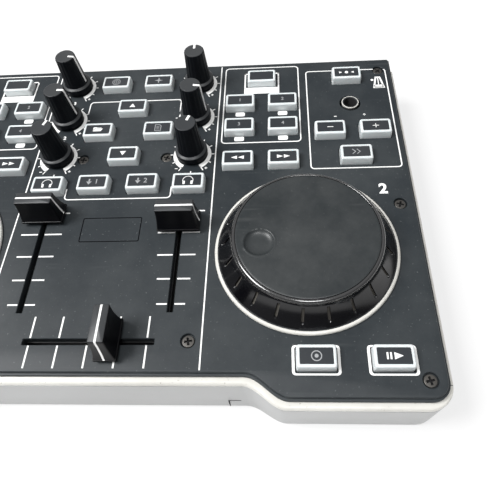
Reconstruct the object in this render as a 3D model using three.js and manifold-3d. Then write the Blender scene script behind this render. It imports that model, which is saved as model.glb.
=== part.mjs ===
// A two-deck DJ controller: a flat black panel of buttons, knobs and faders around two jog wheels,
// on a tray-shaped case with a silver bumper and side trims.
//
// Millimetres. +X to the right, +Y to the back, +Z up. The origin is the middle of the footprint, on
// the surface that the feet stand on. Everything is drawn around one datum, the middle of the
// crossfader's slot on the panel's top face, and the whole is moved to the origin at the end.

import * as THREE from 'three';
import { mergeVertices } from 'three/addons/utils/BufferGeometryUtils.js';
import Module from 'manifold-3d';

const wasm = await Module();
wasm.setup();

// ---- Driving dimensions -------------------------------------------------------------------------

const bodyWidth = 263;          // over the two side trims
const bodyDepth = 176.9;        // front bumper to back wall
const panelHeight = 30;         // panel top above the table
const datumFromFront = 23.4;    // crossfader behind the bumper's foremost face
const gap = 0.3;                // between pieces that touch

// Panel
const panelTopLayer = 1.5;      // upper step of the panel's edge
const panelLipLayer = 1.5;      // lower step, which stands proud all round
const lipWidth = 0.9;
const trimReveal = 2.5;         // side trim outside the panel's upper step
const bumperReveal = 3.4;       // front bumper in front of the panel's upper step
const centreSetback = 8.6;      // the mixer's front edge lies behind the decks' front edge
const slantInner = 58.7;        // where that step begins and ends, from the middle
const slantOuter = 75;
const slantEase = 5.9;          // pull of the curve at both ends of the step
const frontCornerRadius = 6;
const dividerX = 42.85;         // line between the mixer and a deck
const jogInset = 3.325;         // jog wheel from the middle of its deck, towards the mixer

// Case
const caseWall = 2.4;
const caseFloor = 2.4;
const footHeight = 2;
const footRadius = 7;
const footInset = 19.5;         // foot centre from the side trim's outer face
const footFromFront = 17.5;     // foot centre from the bumper's foremost face
const footFromBack = 15.5;      // foot centre from the back wall
const trimThickness = 2.6;
const bumperThickness = 3.2;
const sideSeamFromFront = 8.4;  // seam between bumper and side trim
const trimBackInset = 6.5;      // trim stops short of the back wall
const columnRadius = 3.6;       // screw columns above the board
const shoulderRadius = 5;       // the same below the board
const pilotRadius = 1.2;
const pilotDepth = 8;

// Circuit board
const boardDrop = 10;           // board's top face below the panel's top face
const boardThickness = 1.6;
const boardInset = 4.1;         // board edge from the panel's upper step
const boardBackInset = 5;
const boardHoleClearance = 0.4;
const switchSize = 6;
const potTopDrop = 3.6;         // top of a pot's body below the panel's top face
const rotaryPotSize = 9.8;
const encoderSize = 11;
const encoderTopDrop = 5.3;
const slidePotLength = 60;
const slidePotWidth = 9;

// Buttons
const buttonWidth = 14.2;
const buttonDepth = 8.6;
const buttonHeight = 3.6;
const buttonDraft = 0.5;        // each side, from the panel to the top
const buttonTravel = 1;
const buttonClearance = 0.35;
const buttonFlange = 0.6;       // each side, under the panel
const buttonFlangeThickness = 1.5;

// Knobs
const knobHeight = 20;
const knobLift = 1.5;           // skirt above the panel
const skirtRadius = 7.35;
const knobFootRadius = 5.5;
const knobTopRadius = 4.45;
const shaftRadius = 3;
const shaftClearance = 0.6;     // panel hole around a shaft
const shaftBottomDrop = 8.7;
const bushClearance = 0.3;

// Pitch encoders, each with its cap taken off
const sleeveRadius = 4.05;
const sleeveBore = 3.1;
const sleeveFlat = 1.5;         // flat of the D-shaped socket from its axis
const sleeveTop = 0.6;
const socketDepth = 4.1;
const encoderHoleRadius = 5;

// Faders
const faderTravel = 45;
const slotWidth = 2.4;
const slotEndClearance = 0.75;
const stemLength = 4;           // along the travel
const stemWidth = 1.2;
const stemDrop = 7;             // stem tip below the panel's top face
const capLift = 1.5;            // cap's underside above the panel
const volumeCap = { across: 18, along: 10, topAcross: 15.5, topAlong: 5.8, height: 13.5, lip: 1.2 };
const crossCap = { across: 16.5, along: 8.9, topAcross: 14.3, topAlong: 5.8, height: 14.2, lip: 1.5 };
const capWaist = 0.4;           // height of the flare's end, as a share of the cap's
const capWaistTaper = 0.75;     // how much of the taper is done by there
const crossCapSetback = 1.7;    // top of the crossfader's cap behind its base
const volumeFaderX = 29.8;
const volumeFaderY = 37;        // middle of the travel
const volumeRestA = 57.4;
const volumeRestB = 52.2;
const crossRest = 8.6;

// Jog wheels
const jogY = 38.85;
const jogSkirtRadius = 35.2;
const jogSkirtRun = 5.2;        // how far the coned skirt spreads below the rim
const jogHeight = 12.2;
const jogRimDrop = 1.7;         // top of the cone below the disc
const jogRimRound = 0.8;
const jogWall = 2.4;
const jogRingReveal = 1.74;     // ring outside the skirt
const jogRingUnderlap = 1.6;    // ring under the skirt
const jogRingThickness = 1.2;
const hubRadius = 6.5;
const hubClearance = 0.5;
const hubBottomDrop = 6.4;
const spindleRadius = 2.5;
const spindleFlangeRadius = 5.5;
const spindleFlangeThickness = 1;
const spindleHeight = 6;
const dimpleRadius = 5.9;
const dimpleDepth = 1.3;
const dimpleInset = 11.6;       // dimple's middle from the rim, towards the mixer
const dimpleY = -3.85;

// Screws through the panel, and sockets in the back wall
const screwHeadRadius = 2.8;
const screwShankRadius = 1.6;
const usb = { x: 52, width: 12, height: 10.9, depth: 15, boreWidth: 8.6, boreHeight: 7.9, boreDepth: 9 };
const jackX = [-50, -66];
const jack = { width: 9, depth: 12, drop: 16.5, barrelRadius: 3.6, boreRadius: 1.75, boreDepth: 13 };
const socketHoleClearance = 0.4;

// ---- Sizes that follow --------------------------------------------------------------------------

const plateHalf = bodyWidth / 2 - trimReveal;
const datumY = -bodyDepth / 2 + datumFromFront;
const plateBack = bodyDepth - datumFromFront - lipWidth;
const wingFront = -datumFromFront + bumperReveal;
const centreFront = wingFront + centreSetback;
const deckX = (dividerX + plateHalf) / 2 - jogInset;
const panelUnder = -panelTopLayer - panelLipLayer;
const caseTop = panelUnder - gap;
const caseBottom = -panelHeight + footHeight;
const floorTop = caseBottom + caseFloor;
const caseBack = plateBack + lipWidth;
const boardTop = -boardDrop;
const boardUnder = boardTop - boardThickness;
const slotLength = faderTravel + stemLength + 2 * slotEndClearance;
const switchTop = panelUnder - gap - buttonFlangeThickness - buttonTravel - gap;
const usbTop = boardUnder - gap;
const spindleFlangeTop = -hubBottomDrop - gap;
const jogColumnTop = spindleFlangeTop - spindleFlangeThickness - gap;
const screwX = plateHalf - 6;
const cornerScrewBackY = plateBack - 8.1;
const screws = [
  [screwX, -14], [screwX, 60.6], [screwX, cornerScrewBackY], [37.8, 0.3], [20, 89.8],
].flatMap(([x, y]) => [[x, y], [-x, y]]);
const jogRimRadius = jogSkirtRadius - jogSkirtRun;
const jogRingOuter = jogSkirtRadius + jogRingReveal;
const jogRingInner = jogSkirtRadius - jogRingUnderlap;
const slopeShare = 0.32;        // how far a slant's ends move sideways when its outline is offset

// ---- Control layout, from the datum -------------------------------------------------------------

// Mixer buttons: name, x, y
const mixerButtons = [
  ['vinyl_button', -11.1, 138.9],
  ['magic_button', 11.1, 138.9],
  ['up_button', 0, 121.3],
  ['folders_button', -14.7, 105.5],
  ['files_button', 14.7, 105.5],
  ['down_button', 0, 89.9],
  ['load_button_a', -11.1, 73.4],
  ['load_button_b', 11.1, 73.4],
  ['listen_button_a', -32, 73],
  ['listen_button_b', 32, 73],
];

// Deck buttons: name on the right deck, name at the mirrored place on the left deck, x from the jog
// wheel's axis, y
const deckButtons = [
  ['shift_button', 'shift_button', -18.7, 139.5],
  ['pad_1_button', 'pad_2_button', -29.1, 122.3],
  ['pad_2_button', 'pad_1_button', -8.4, 122.3],
  ['pad_3_button', 'pad_4_button', -29.1, 106.1],
  ['pad_4_button', 'pad_3_button', -8.4, 106.1],
  ['rewind_button', 'forward_button', -29.1, 85.4],
  ['forward_button', 'rewind_button', -8.4, 85.4],
  ['pitch_reset_button', 'pitch_reset_button', 23.9, 139.6],
  ['pitch_minus_button', 'pitch_plus_button', 13.5, 102.5],
  ['pitch_plus_button', 'pitch_minus_button', 34.3, 102.5],
  ['sync_button', 'sync_button', 24.2, 87],
  ['cue_button', 'play_button', 1.75, -6.5],
  ['play_button', 'cue_button', 28.5, -6.5],
];

const buttons = [
  ...mixerButtons,
  ...deckButtons.map(([name, , x, y]) => [`${name}_b`, deckX + x, y]),
  ...deckButtons.map(([, name, x, y]) => [`${name}_a`, -deckX - x, y]),
];

const knobX = 32;
const knobRows = [['bass_knob', 91], ['medium_knob', 115], ['treble_knob', 139]];
const knobs = knobRows.flatMap(([name, y]) => [[`${name}_a`, -knobX, y], [`${name}_b`, knobX, y]]);

const encoderX = 24.5;          // from the jog wheel's axis
const encoders = [['pitch_shaft_a', -deckX - encoderX, 121.4], ['pitch_shaft_b', deckX + encoderX, 121.4]];

const jogs = [['a', -deckX, -1], ['b', deckX, 1]];

// Faders: middle of the slot, and whether the travel runs along X
const faders = [
  { name: 'volume_fader_cap_a', x: -volumeFaderX, y: volumeFaderY, alongX: false, rest: volumeRestA },
  { name: 'volume_fader_cap_b', x: volumeFaderX, y: volumeFaderY, alongX: false, rest: volumeRestB },
  { name: 'crossfader_cap', x: 0, y: 0, alongX: true, rest: crossRest },
];

// ---- Materials ----------------------------------------------------------------------------------

function paint(color, roughness, metalness = 0) {
  return new THREE.MeshStandardMaterial({ color, roughness, metalness });
}

const materials = {
  panel: paint(0x3a4047, 0.6),
  silver: paint(0xb9b9b6, 0.45, 0.3),
  casePlastic: paint(0x202224, 0.6),
  ring: paint(0xd8d8d2, 0.4),
  button: paint(0xd5d9da, 0.35),
  blackPlastic: paint(0x0d0e10, 0.35),
  jogDisc: paint(0x2b2e32, 0.5),
  board: paint(0x14502f, 0.5),
  metal: paint(0xb5b5b5, 0.3, 1),
};

// ---- Shape helpers ------------------------------------------------------------------------------

// A closed three.js geometry as a solid that can be joined and cut.
function solid(geometry) {
  geometry.deleteAttribute('normal');
  geometry.deleteAttribute('uv');
  const merged = mergeVertices(geometry, 1e-4);
  const mesh = new wasm.Mesh({
    numProp: 3,
    vertProperties: new Float32Array(merged.attributes.position.array),
    triVerts: new Uint32Array(merged.index.array),
  });
  return new wasm.Manifold(mesh);
}

const join = (parts) => parts.reduce((whole, part) => whole.add(part));
const cut = (body, tools) => tools.reduce((whole, tool) => whole.subtract(tool), body);

function geometryOf(manifold) {
  const { vertProperties, triVerts } = manifold.getMesh();
  const geometry = new THREE.BufferGeometry();
  geometry.setAttribute('position', new THREE.BufferAttribute(new Float32Array(vertProperties), 3));
  geometry.setIndex(new THREE.BufferAttribute(new Uint32Array(triVerts), 1));
  geometry.computeVertexNormals();
  return geometry;
}

// A flat outline raised from z0 to z1.
function slab(shape, z0, z1, curveSegments = 5) {
  const geometry = new THREE.ExtrudeGeometry(shape, { depth: z1 - z0, bevelEnabled: false, curveSegments });
  return geometry.translate(0, 0, z0);
}

// A box from its middle in plan, its two sizes and its two heights.
function box(x, y, width, depth, z0, z1) {
  return new THREE.BoxGeometry(width, depth, z1 - z0).translate(x, y, (z0 + z1) / 2);
}

// An upright cylinder.
function post(x, y, radius, z0, z1, sides = 14) {
  return new THREE.CylinderGeometry(radius, radius, z1 - z0, sides)
    .rotateX(Math.PI / 2)
    .translate(x, y, (z0 + z1) / 2);
}

// A cylinder lying along Y.
function rod(x, z, radius, y0, y1, sides = 28) {
  return new THREE.CylinderGeometry(radius, radius, y1 - y0, sides).translate(x, (y0 + y1) / 2, z);
}

// A body of revolution about an upright axis, from [radius, height] pairs.
function turned(profile, segments) {
  const points = profile.map(([radius, z]) => new THREE.Vector2(radius, z));
  return new THREE.LatheGeometry(points, segments).rotateX(Math.PI / 2);
}

// A stack of rectangular sections, each [z, half width, half depth, shift in y].
function steppedBlock(sections) {
  const last = sections.length - 1;
  const geometry = new THREE.BoxGeometry(1, 1, last, 1, 1, last);
  const position = geometry.attributes.position;
  for (let i = 0; i < position.count; i++) {
    const [z, halfWidth, halfDepth, shift = 0] = sections[Math.round(position.getZ(i) + last / 2)];
    const x = Math.sign(position.getX(i)) * halfWidth;
    const y = Math.sign(position.getY(i)) * halfDepth + shift;
    position.setXYZ(i, x, y, z);
  }
  return geometry;
}

// The controller's outline, standing outside the panel's upper step by the three offsets: straight
// sides and back, and a front edge that steps back across the mixer on two eased slants.
function outline(side, front, back) {
  const x = plateHalf + side;
  const yBack = plateBack + back;
  const yWing = wingFront - front;
  const yCentre = centreFront - front;
  const radius = Math.max(frontCornerRadius + front, 0.5);
  const inner = slantInner - slopeShare * front;
  const outer = slantOuter - slopeShare * front;
  const shape = new THREE.Shape();
  shape.moveTo(-x, yBack);
  shape.lineTo(-x, yWing + radius);
  shape.absarc(-x + radius, yWing + radius, radius, Math.PI, 1.5 * Math.PI, false);
  shape.lineTo(-outer, yWing);
  shape.bezierCurveTo(-outer + slantEase, yWing, -inner - slantEase, yCentre, -inner, yCentre);
  shape.lineTo(inner, yCentre);
  shape.bezierCurveTo(inner + slantEase, yCentre, outer - slantEase, yWing, outer, yWing);
  shape.lineTo(x - radius, yWing);
  shape.absarc(x - radius, yWing + radius, radius, 1.5 * Math.PI, 2 * Math.PI, false);
  shape.lineTo(x, yBack);
  shape.closePath();
  return shape;
}

// A fader's slot or cap: the size along the travel goes to x or y.
const along = (fader, length, width) => (fader.alongX ? [length, width] : [width, length]);

// ---- Fixed pieces -------------------------------------------------------------------------------

// The panel: two layers, the lower one standing proud as a lip. Screw heads sink into the upper one.
function faceplate() {
  const upper = solid(slab(outline(0, 0, 0), -panelTopLayer, 0));
  const lower = solid(slab(outline(lipWidth, lipWidth, lipWidth), panelUnder, -panelTopLayer));
  const through = [panelUnder - 1, 1];
  const holes = [
    ...buttons.map(([, x, y]) =>
      box(x, y, buttonWidth + 2 * buttonClearance, buttonDepth + 2 * buttonClearance, ...through)),
    ...knobs.map(([, x, y]) => post(x, y, shaftRadius + shaftClearance, ...through)),
    ...encoders.map(([, x, y]) => post(x, y, encoderHoleRadius, ...through, 28)),
    ...jogs.map(([, x]) => post(x, jogY, hubRadius + hubClearance, ...through)),
    ...faders.map((fader) => box(fader.x, fader.y, ...along(fader, slotLength, slotWidth), ...through)),
    ...screws.map(([x, y]) => post(x, y, screwShankRadius, ...through, 8)),
    ...screws.map(([x, y]) => post(x, y, screwHeadRadius, -panelTopLayer, 1, 12)),
  ];
  return cut(upper.add(lower), holes.map(solid));
}

// The silver bumper: a wall that follows the front outline and ends at the side seams.
function frontBumper() {
  const outer = outline(trimReveal, bumperReveal, 0);
  const inner = outline(trimReveal - trimThickness, bumperReveal - bumperThickness, 0);
  const seamY = -datumFromFront + sideSeamFromFront;
  const overHeight = [caseBottom - 1, caseTop + 1];
  const band = solid(slab(outer, caseBottom, caseTop)).subtract(solid(slab(inner, ...overHeight)));
  const depth = bodyDepth + 20;
  const behindMiddle = box(0, centreFront + 2 + depth / 2, bodyWidth + 20, depth, ...overHeight);
  const sides = [-1, 1].map((side) =>
    box(side * (plateHalf + 5), seamY + depth / 2, 30, depth, ...overHeight));
  return cut(band, [behindMiddle, ...sides].map(solid));
}

// A silver strip along one side, between the bumper's seam and a stop near the back.
function sideTrim(side) {
  const y0 = -datumFromFront + sideSeamFromFront + gap;
  const y1 = caseBack - trimBackInset;
  const x = side * (plateHalf + trimReveal - trimThickness / 2);
  return solid(box(x, (y0 + y1) / 2, trimThickness, y1 - y0, caseBottom, caseTop));
}

// The case: a tray with feet, screw columns with shoulders for the board, columns for the jog
// spindles, and holes in the back wall for the sockets.
function lowerCase() {
  const side = trimReveal - trimThickness - gap;
  const front = bumperReveal - bumperThickness - gap;
  const outer = solid(slab(outline(side, front, lipWidth), caseBottom, caseTop));
  const trimEnd = caseBack - trimBackInset + gap;
  const rearWidth = 2 * (plateHalf + lipWidth - gap);
  const rear = solid(box(0, (trimEnd + caseBack) / 2, rearWidth, caseBack - trimEnd, caseBottom, caseTop));
  const hollow = outline(side - caseWall, front - caseWall, lipWidth - caseWall);
  const inner = solid(slab(hollow, floorTop, caseTop + 1));
  const buried = floorTop - caseFloor / 2;
  const columns = screws.flatMap(([x, y]) => [
    solid(post(x, y, shoulderRadius, buried, boardUnder - gap, 12)),
    solid(post(x, y, columnRadius, buried, caseTop, 12)),
  ]);
  const jogColumns = jogs.map(([, x]) => solid(post(x, jogY, shoulderRadius, buried, jogColumnTop, 16)));
  const footX = bodyWidth / 2 - footInset;
  const footYs = [-datumFromFront + footFromFront, caseBack - footFromBack];
  const feet = footYs.flatMap((y) =>
    [-footX, footX].map((x) => solid(post(x, y, footRadius, -panelHeight, caseBottom + caseFloor / 2, 16))));
  const pilots = screws.map(([x, y]) => post(x, y, pilotRadius, caseTop - pilotDepth, caseTop + 1, 8));
  const usbHole = box(usb.x, caseBack, usb.width + 2 * socketHoleClearance, 4 * caseWall,
    usbTop - usb.height - socketHoleClearance, usbTop + socketHoleClearance);
  const jackHoleRadius = jack.barrelRadius + socketHoleClearance;
  const jackHoles = jackX.map((x) =>
    rod(x, -jack.drop, jackHoleRadius, caseBack - 2 * caseWall, caseBack + 1));
  const envelope = join([outer, rear]);
  const trimmedColumns = join([...columns, ...jogColumns]).intersect(envelope);
  const tray = join([envelope.subtract(inner), trimmedColumns, ...feet]);
  return cut(tray, [...pilots, usbHole, ...jackHoles].map(solid));
}

// The circuit board with what is soldered to it: a switch under each button, the rotary and slide
// pots, the pitch encoders, and two jack sockets under its back edge.
function mainBoard() {
  const plate = solid(slab(outline(-boardInset, -boardInset, -boardBackInset), boardUnder, boardTop));
  const through = [boardUnder - 1, boardTop + 1];
  const columnHoles = [
    ...screws.map(([x, y]) => solid(post(x, y, columnRadius + boardHoleClearance, ...through, 12))),
    ...jogs.map(([, x]) => solid(post(x, jogY, shoulderRadius + boardHoleClearance, ...through, 16))),
  ];
  const buried = boardTop - boardThickness / 2;
  const switches = buttons.map(([, x, y]) =>
    solid(box(x, y, switchSize, switchSize, buried, switchTop)));
  const rotaryPots = knobs.map(([, x, y]) =>
    solid(box(x, y, rotaryPotSize, rotaryPotSize, buried, -potTopDrop)));
  const encoderBodies = encoders.map(([, x, y]) =>
    solid(box(x, y, encoderSize, encoderSize, buried, -encoderTopDrop)));
  const slidePots = faders.map((fader) =>
    solid(box(fader.x, fader.y, ...along(fader, slidePotLength, slidePotWidth), buried, -potTopDrop)));
  const bores = [...knobs, ...encoders].map(([, x, y]) =>
    solid(post(x, y, shaftRadius + bushClearance, -shaftBottomDrop - gap, 0)));
  const channels = faders.map((fader) =>
    solid(box(fader.x, fader.y, ...along(fader, slotLength, stemWidth + 2 * gap), -stemDrop - gap, 0)));
  const jackBack = caseBack - caseWall - gap;
  const jackBodies = jackX.flatMap((x) => [
    solid(box(x, jackBack - jack.depth / 2, jack.width, jack.depth, -jack.drop - jack.width / 2, buried)),
    solid(rod(x, -jack.drop, jack.barrelRadius, jackBack - 1, caseBack - gap)),
  ]);
  const jackBores = jackX.map((x) =>
    solid(rod(x, -jack.drop, jack.boreRadius, caseBack - jack.boreDepth, caseBack + 1)));
  const populated = join([plate, ...switches, ...rotaryPots, ...encoderBodies, ...slidePots, ...jackBodies]);
  return cut(populated, [...columnHoles, ...bores, ...channels, ...jackBores]);
}

// The socket for the computer's lead, hung under the board with its mouth in the back wall.
function usbSocket() {
  const shell = box(usb.x, caseBack - usb.depth / 2, usb.width, usb.depth, usbTop - usb.height, usbTop);
  const middle = usbTop - usb.height / 2;
  const bore = box(usb.x, caseBack - usb.boreDepth / 2 + 1, usb.boreWidth, usb.boreDepth + 2,
    middle - usb.boreHeight / 2, middle + usb.boreHeight / 2);
  return solid(shell).subtract(solid(bore));
}

// A flat trim ring on the panel, around the foot of a jog wheel.
function jogTrimRing() {
  const top = gap + jogRingThickness;
  return solid(turned([
    [jogRingInner, gap], [jogRingOuter, gap], [jogRingOuter, top - 0.5], [jogRingOuter - 0.5, top],
    [jogRingInner, top], [jogRingInner, gap],
  ], 48));
}

// The steel pin that a jog wheel turns on, with the flange that carries the wheel's hub.
function jogSpindle() {
  const bottom = spindleFlangeTop - spindleFlangeThickness;
  return solid(turned([
    [0, bottom], [spindleFlangeRadius, bottom], [spindleFlangeRadius, spindleFlangeTop],
    [spindleRadius, spindleFlangeTop], [spindleRadius, spindleHeight], [0, spindleHeight],
  ], 16));
}

// ---- Moving pieces ------------------------------------------------------------------------------

// A jog wheel: a disc with a rounded rim, a coned skirt, a hub bored for the spindle and a finger dimple.
function jogWheel(side) {
  const skirtBottom = gap + jogRingThickness + gap;
  const rimZ = jogHeight - jogRimDrop;
  const boreRadius = spindleRadius + gap;
  const boreTop = spindleHeight + gap;
  const wheel = solid(turned([
    [0, boreTop], [boreRadius, boreTop], [boreRadius, -hubBottomDrop], [hubRadius, -hubBottomDrop],
    [hubRadius, jogHeight - jogWall], [jogRimRadius - jogWall, jogHeight - jogWall],
    [jogSkirtRadius - jogWall, skirtBottom], [jogSkirtRadius, skirtBottom], [jogRimRadius, rimZ],
    [jogRimRadius - 0.2, jogHeight - jogRimRound], [jogRimRadius - jogRimRound, jogHeight], [0, jogHeight],
  ], 48));
  const ballRadius = (dimpleRadius ** 2 + dimpleDepth ** 2) / (2 * dimpleDepth);
  const ball = new THREE.SphereGeometry(ballRadius, 24, 36)
    .rotateX(Math.PI / 2)
    .translate(-side * (jogRimRadius - dimpleInset), dimpleY, jogHeight - dimpleDepth + ballRadius);
  return wheel.subtract(solid(ball));
}

// A button: a drafted cap that fills its hole, and a flange under the panel that stops it coming out.
function button() {
  const halfWidth = buttonWidth / 2;
  const halfDepth = buttonDepth / 2;
  const flangeTop = panelUnder - gap;
  return solid(steppedBlock([
    [flangeTop - buttonFlangeThickness, halfWidth + buttonFlange, halfDepth + buttonFlange],
    [flangeTop, halfWidth + buttonFlange, halfDepth + buttonFlange],
    [flangeTop, halfWidth, halfDepth],
    [0, halfWidth, halfDepth],
    [buttonHeight, halfWidth - buttonDraft, halfDepth - buttonDraft],
  ]));
}

// A knob on the shaft of its pot: a skirt, a slightly coned grip and the shaft.
function knob() {
  return solid(turned([
    [0, -shaftBottomDrop], [shaftRadius, -shaftBottomDrop], [shaftRadius, knobLift], [skirtRadius, knobLift],
    [skirtRadius, knobLift + 1.7], [knobFootRadius, knobLift + 2.9], [knobTopRadius, knobHeight - 0.6],
    [knobTopRadius - 0.5, knobHeight], [0, knobHeight],
  ], 20));
}

// The bare end of a pitch encoder's shaft: a sleeve with a D-shaped socket for the missing cap.
function pitchShaft() {
  const step = -encoderTopDrop + gap;
  const sleeve = solid(turned([
    [0, -shaftBottomDrop], [shaftRadius, -shaftBottomDrop], [shaftRadius, step], [sleeveRadius, step],
    [sleeveRadius, sleeveTop], [0, sleeveTop],
  ], 20));
  const floor = sleeveTop - socketDepth;
  const round = solid(post(0, 0, sleeveBore, floor, sleeveTop + 1, 20));
  const size = 2 * sleeveBore;
  const beyondFlat = solid(box(sleeveFlat + sleeveBore, 0, size, 2 * size, floor - 1, sleeveTop + 2));
  return sleeve.subtract(round.subtract(beyondFlat));
}

// A fader cap: a stem into the slide pot, a lip, a flare and a narrow top. Sizes run across and along
// the travel.
function faderCap(fader, cap, setback) {
  const section = (z, across, length, shift = 0) => {
    const [width, depth] = along(fader, length, across);
    return [z, width / 2, depth / 2, shift];
  };
  const waist = capLift + capWaist * (cap.height - capLift);
  const mix = (from, to) => from + (to - from) * capWaistTaper;
  return solid(steppedBlock([
    section(-stemDrop, stemWidth, stemLength),
    section(capLift, stemWidth, stemLength),
    section(capLift, cap.across, cap.along),
    section(capLift + cap.lip, cap.across, cap.along),
    section(waist, mix(cap.across, cap.topAcross), mix(cap.along, cap.topAlong), setback / 2),
    section(cap.height, cap.topAcross, cap.topAlong, setback),
  ]));
}

// ---- Assembly -----------------------------------------------------------------------------------

const controller = new THREE.Group();
const onDatum = new THREE.Group();
onDatum.position.set(0, datumY, panelHeight);
controller.add(onDatum);

function place(name, manifold, material, x = 0, y = 0) {
  const mesh = new THREE.Mesh(geometryOf(manifold), material);
  mesh.name = name;
  mesh.position.set(x, y, 0);
  onDatum.add(mesh);
}

place('faceplate', faceplate(), materials.panel);
place('front_bumper', frontBumper(), materials.silver);
place('side_trim_a', sideTrim(-1), materials.silver);
place('side_trim_b', sideTrim(1), materials.silver);
place('lower_case', lowerCase(), materials.casePlastic);
place('main_board', mainBoard(), materials.board);
place('usb_socket', usbSocket(), materials.metal);

for (const [letter, x, side] of jogs) {
  place(`jog_trim_ring_${letter}`, jogTrimRing(), materials.ring, x, jogY);
  place(`jog_spindle_${letter}`, jogSpindle(), materials.metal, x, jogY);
  place(`jog_wheel_${letter}`, jogWheel(side), materials.jogDisc, x, jogY);
}

const oneButton = button();
for (const [name, x, y] of buttons) {
  place(name, oneButton, materials.button, x, y);
}

const oneKnob = knob();
for (const [name, x, y] of knobs) {
  place(name, oneKnob, materials.blackPlastic, x, y);
}

const oneShaft = pitchShaft();
for (const [name, x, y] of encoders) {
  place(name, oneShaft, materials.metal, x, y);
}

for (const fader of faders) {
  const [cap, setback] = fader.alongX ? [crossCap, crossCapSetback] : [volumeCap, 0];
  const [x, y] = fader.alongX ? [fader.rest, fader.y] : [fader.x, fader.rest];
  place(fader.name, faderCap(fader, cap, setback), materials.blackPlastic, x, y);
}

export default controller;
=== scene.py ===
# %% [markdown]
# # A two-deck DJ controller
# The controller is a black panel full of sprung buttons, knobs and faders, with two jog wheels, on a
# shallow case that wears a silver bumper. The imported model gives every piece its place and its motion.
# This lesson gives each one its finished surface, worked out as arrays of points, and its material.

# %% The frame and the tools
import math

import bmesh
import bpy
import numpy as np
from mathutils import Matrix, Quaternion, Vector


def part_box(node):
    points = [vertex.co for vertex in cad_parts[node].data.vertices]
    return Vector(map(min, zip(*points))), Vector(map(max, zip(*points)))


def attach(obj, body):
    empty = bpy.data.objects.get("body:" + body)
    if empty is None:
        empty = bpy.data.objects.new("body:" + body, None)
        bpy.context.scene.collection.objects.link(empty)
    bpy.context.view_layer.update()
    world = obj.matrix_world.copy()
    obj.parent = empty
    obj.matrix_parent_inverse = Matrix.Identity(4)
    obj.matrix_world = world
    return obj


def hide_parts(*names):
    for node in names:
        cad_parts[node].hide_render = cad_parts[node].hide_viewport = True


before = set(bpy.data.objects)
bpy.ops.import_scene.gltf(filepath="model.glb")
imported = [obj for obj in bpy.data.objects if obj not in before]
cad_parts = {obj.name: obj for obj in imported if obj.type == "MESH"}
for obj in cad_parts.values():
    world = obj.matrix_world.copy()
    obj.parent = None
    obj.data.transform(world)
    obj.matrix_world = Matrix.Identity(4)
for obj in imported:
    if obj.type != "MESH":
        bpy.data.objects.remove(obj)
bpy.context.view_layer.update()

# %% [markdown]
# ## One datum for everything
# The panel's top face and the middle of the crossfader's slot are the datum, as they were for the
# solids. All shapes below are in millimetres from it, and only the function that makes an object
# turns them into metres in the frame.

# %% The datum
MM = 0.001
TURN = 2 * np.pi
panel_low, panel_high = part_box("faceplate")
LIP = 0.9  # the panel's lower step stands this far outside its upper step
PANEL_BACK = 152.6  # back edge of the upper step, behind the datum
datum = Vector((0, panel_high.y - (PANEL_BACK + LIP) * MM, panel_high.z))


def centre_of(node):
    """Middle of a node's box, as x and y in millimetres from the datum."""
    low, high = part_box(node)
    middle = ((low + high) / 2 - datum) / MM
    return np.array([middle.x, middle.y])


def level_of(node):
    """Lowest and highest z of a node's box in millimetres from the panel's top face."""
    low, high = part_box(node)
    return (low.z - datum.z) / MM, (high.z - datum.z) / MM


PANEL_HALF = panel_high.x / MM - LIP
print("datum:", tuple(round(v, 4) for v in datum))

# %% [markdown]
# ## The camera
# The view looks down on the mixer and the right deck from in front and a little to the right of the
# middle, close enough that the left deck runs out of the picture. Three angles turn the camera, and the
# lens has no shift and no depth of field.

# %% The camera
CAMERA_AT = (72.69, -59.96, 166.03)  # from the datum
CAMERA_AZIMUTH = -7.36
CAMERA_ELEVATION = 59.06
CAMERA_ROLL = -7.17
LENS = 34.32

camera = bpy.data.objects.new("camera", bpy.data.cameras.new("camera"))
bpy.context.scene.collection.objects.link(camera)
camera.data.lens = LENS
camera.data.sensor_width = 36
camera.data.clip_start = 0.01
camera.data.clip_end = 20
camera.location = datum + Vector(CAMERA_AT) * MM
azimuth, elevation = math.radians(CAMERA_AZIMUTH), math.radians(CAMERA_ELEVATION)
looking = Vector((
    math.sin(azimuth) * math.cos(elevation),
    math.cos(azimuth) * math.cos(elevation),
    -math.sin(elevation),
))
camera.rotation_mode = "QUATERNION"
roll = Quaternion((0, 0, 1), math.radians(CAMERA_ROLL))
camera.rotation_quaternion = looking.to_track_quat("-Z", "Y") @ roll
bpy.context.scene.camera = camera
print("camera looks along", tuple(round(v, 3) for v in looking))

# %% [markdown]
# ## Surfaces as arrays
# A surface is a grid of points: rows of rings. A ring closes on itself, and a stack of rings makes a
# closed skin once its first and last ring are filled in. Everything from a knob to a printed line is
# such a stack, so one small class gathers them, numbers their faces and remembers each one's material.


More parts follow.
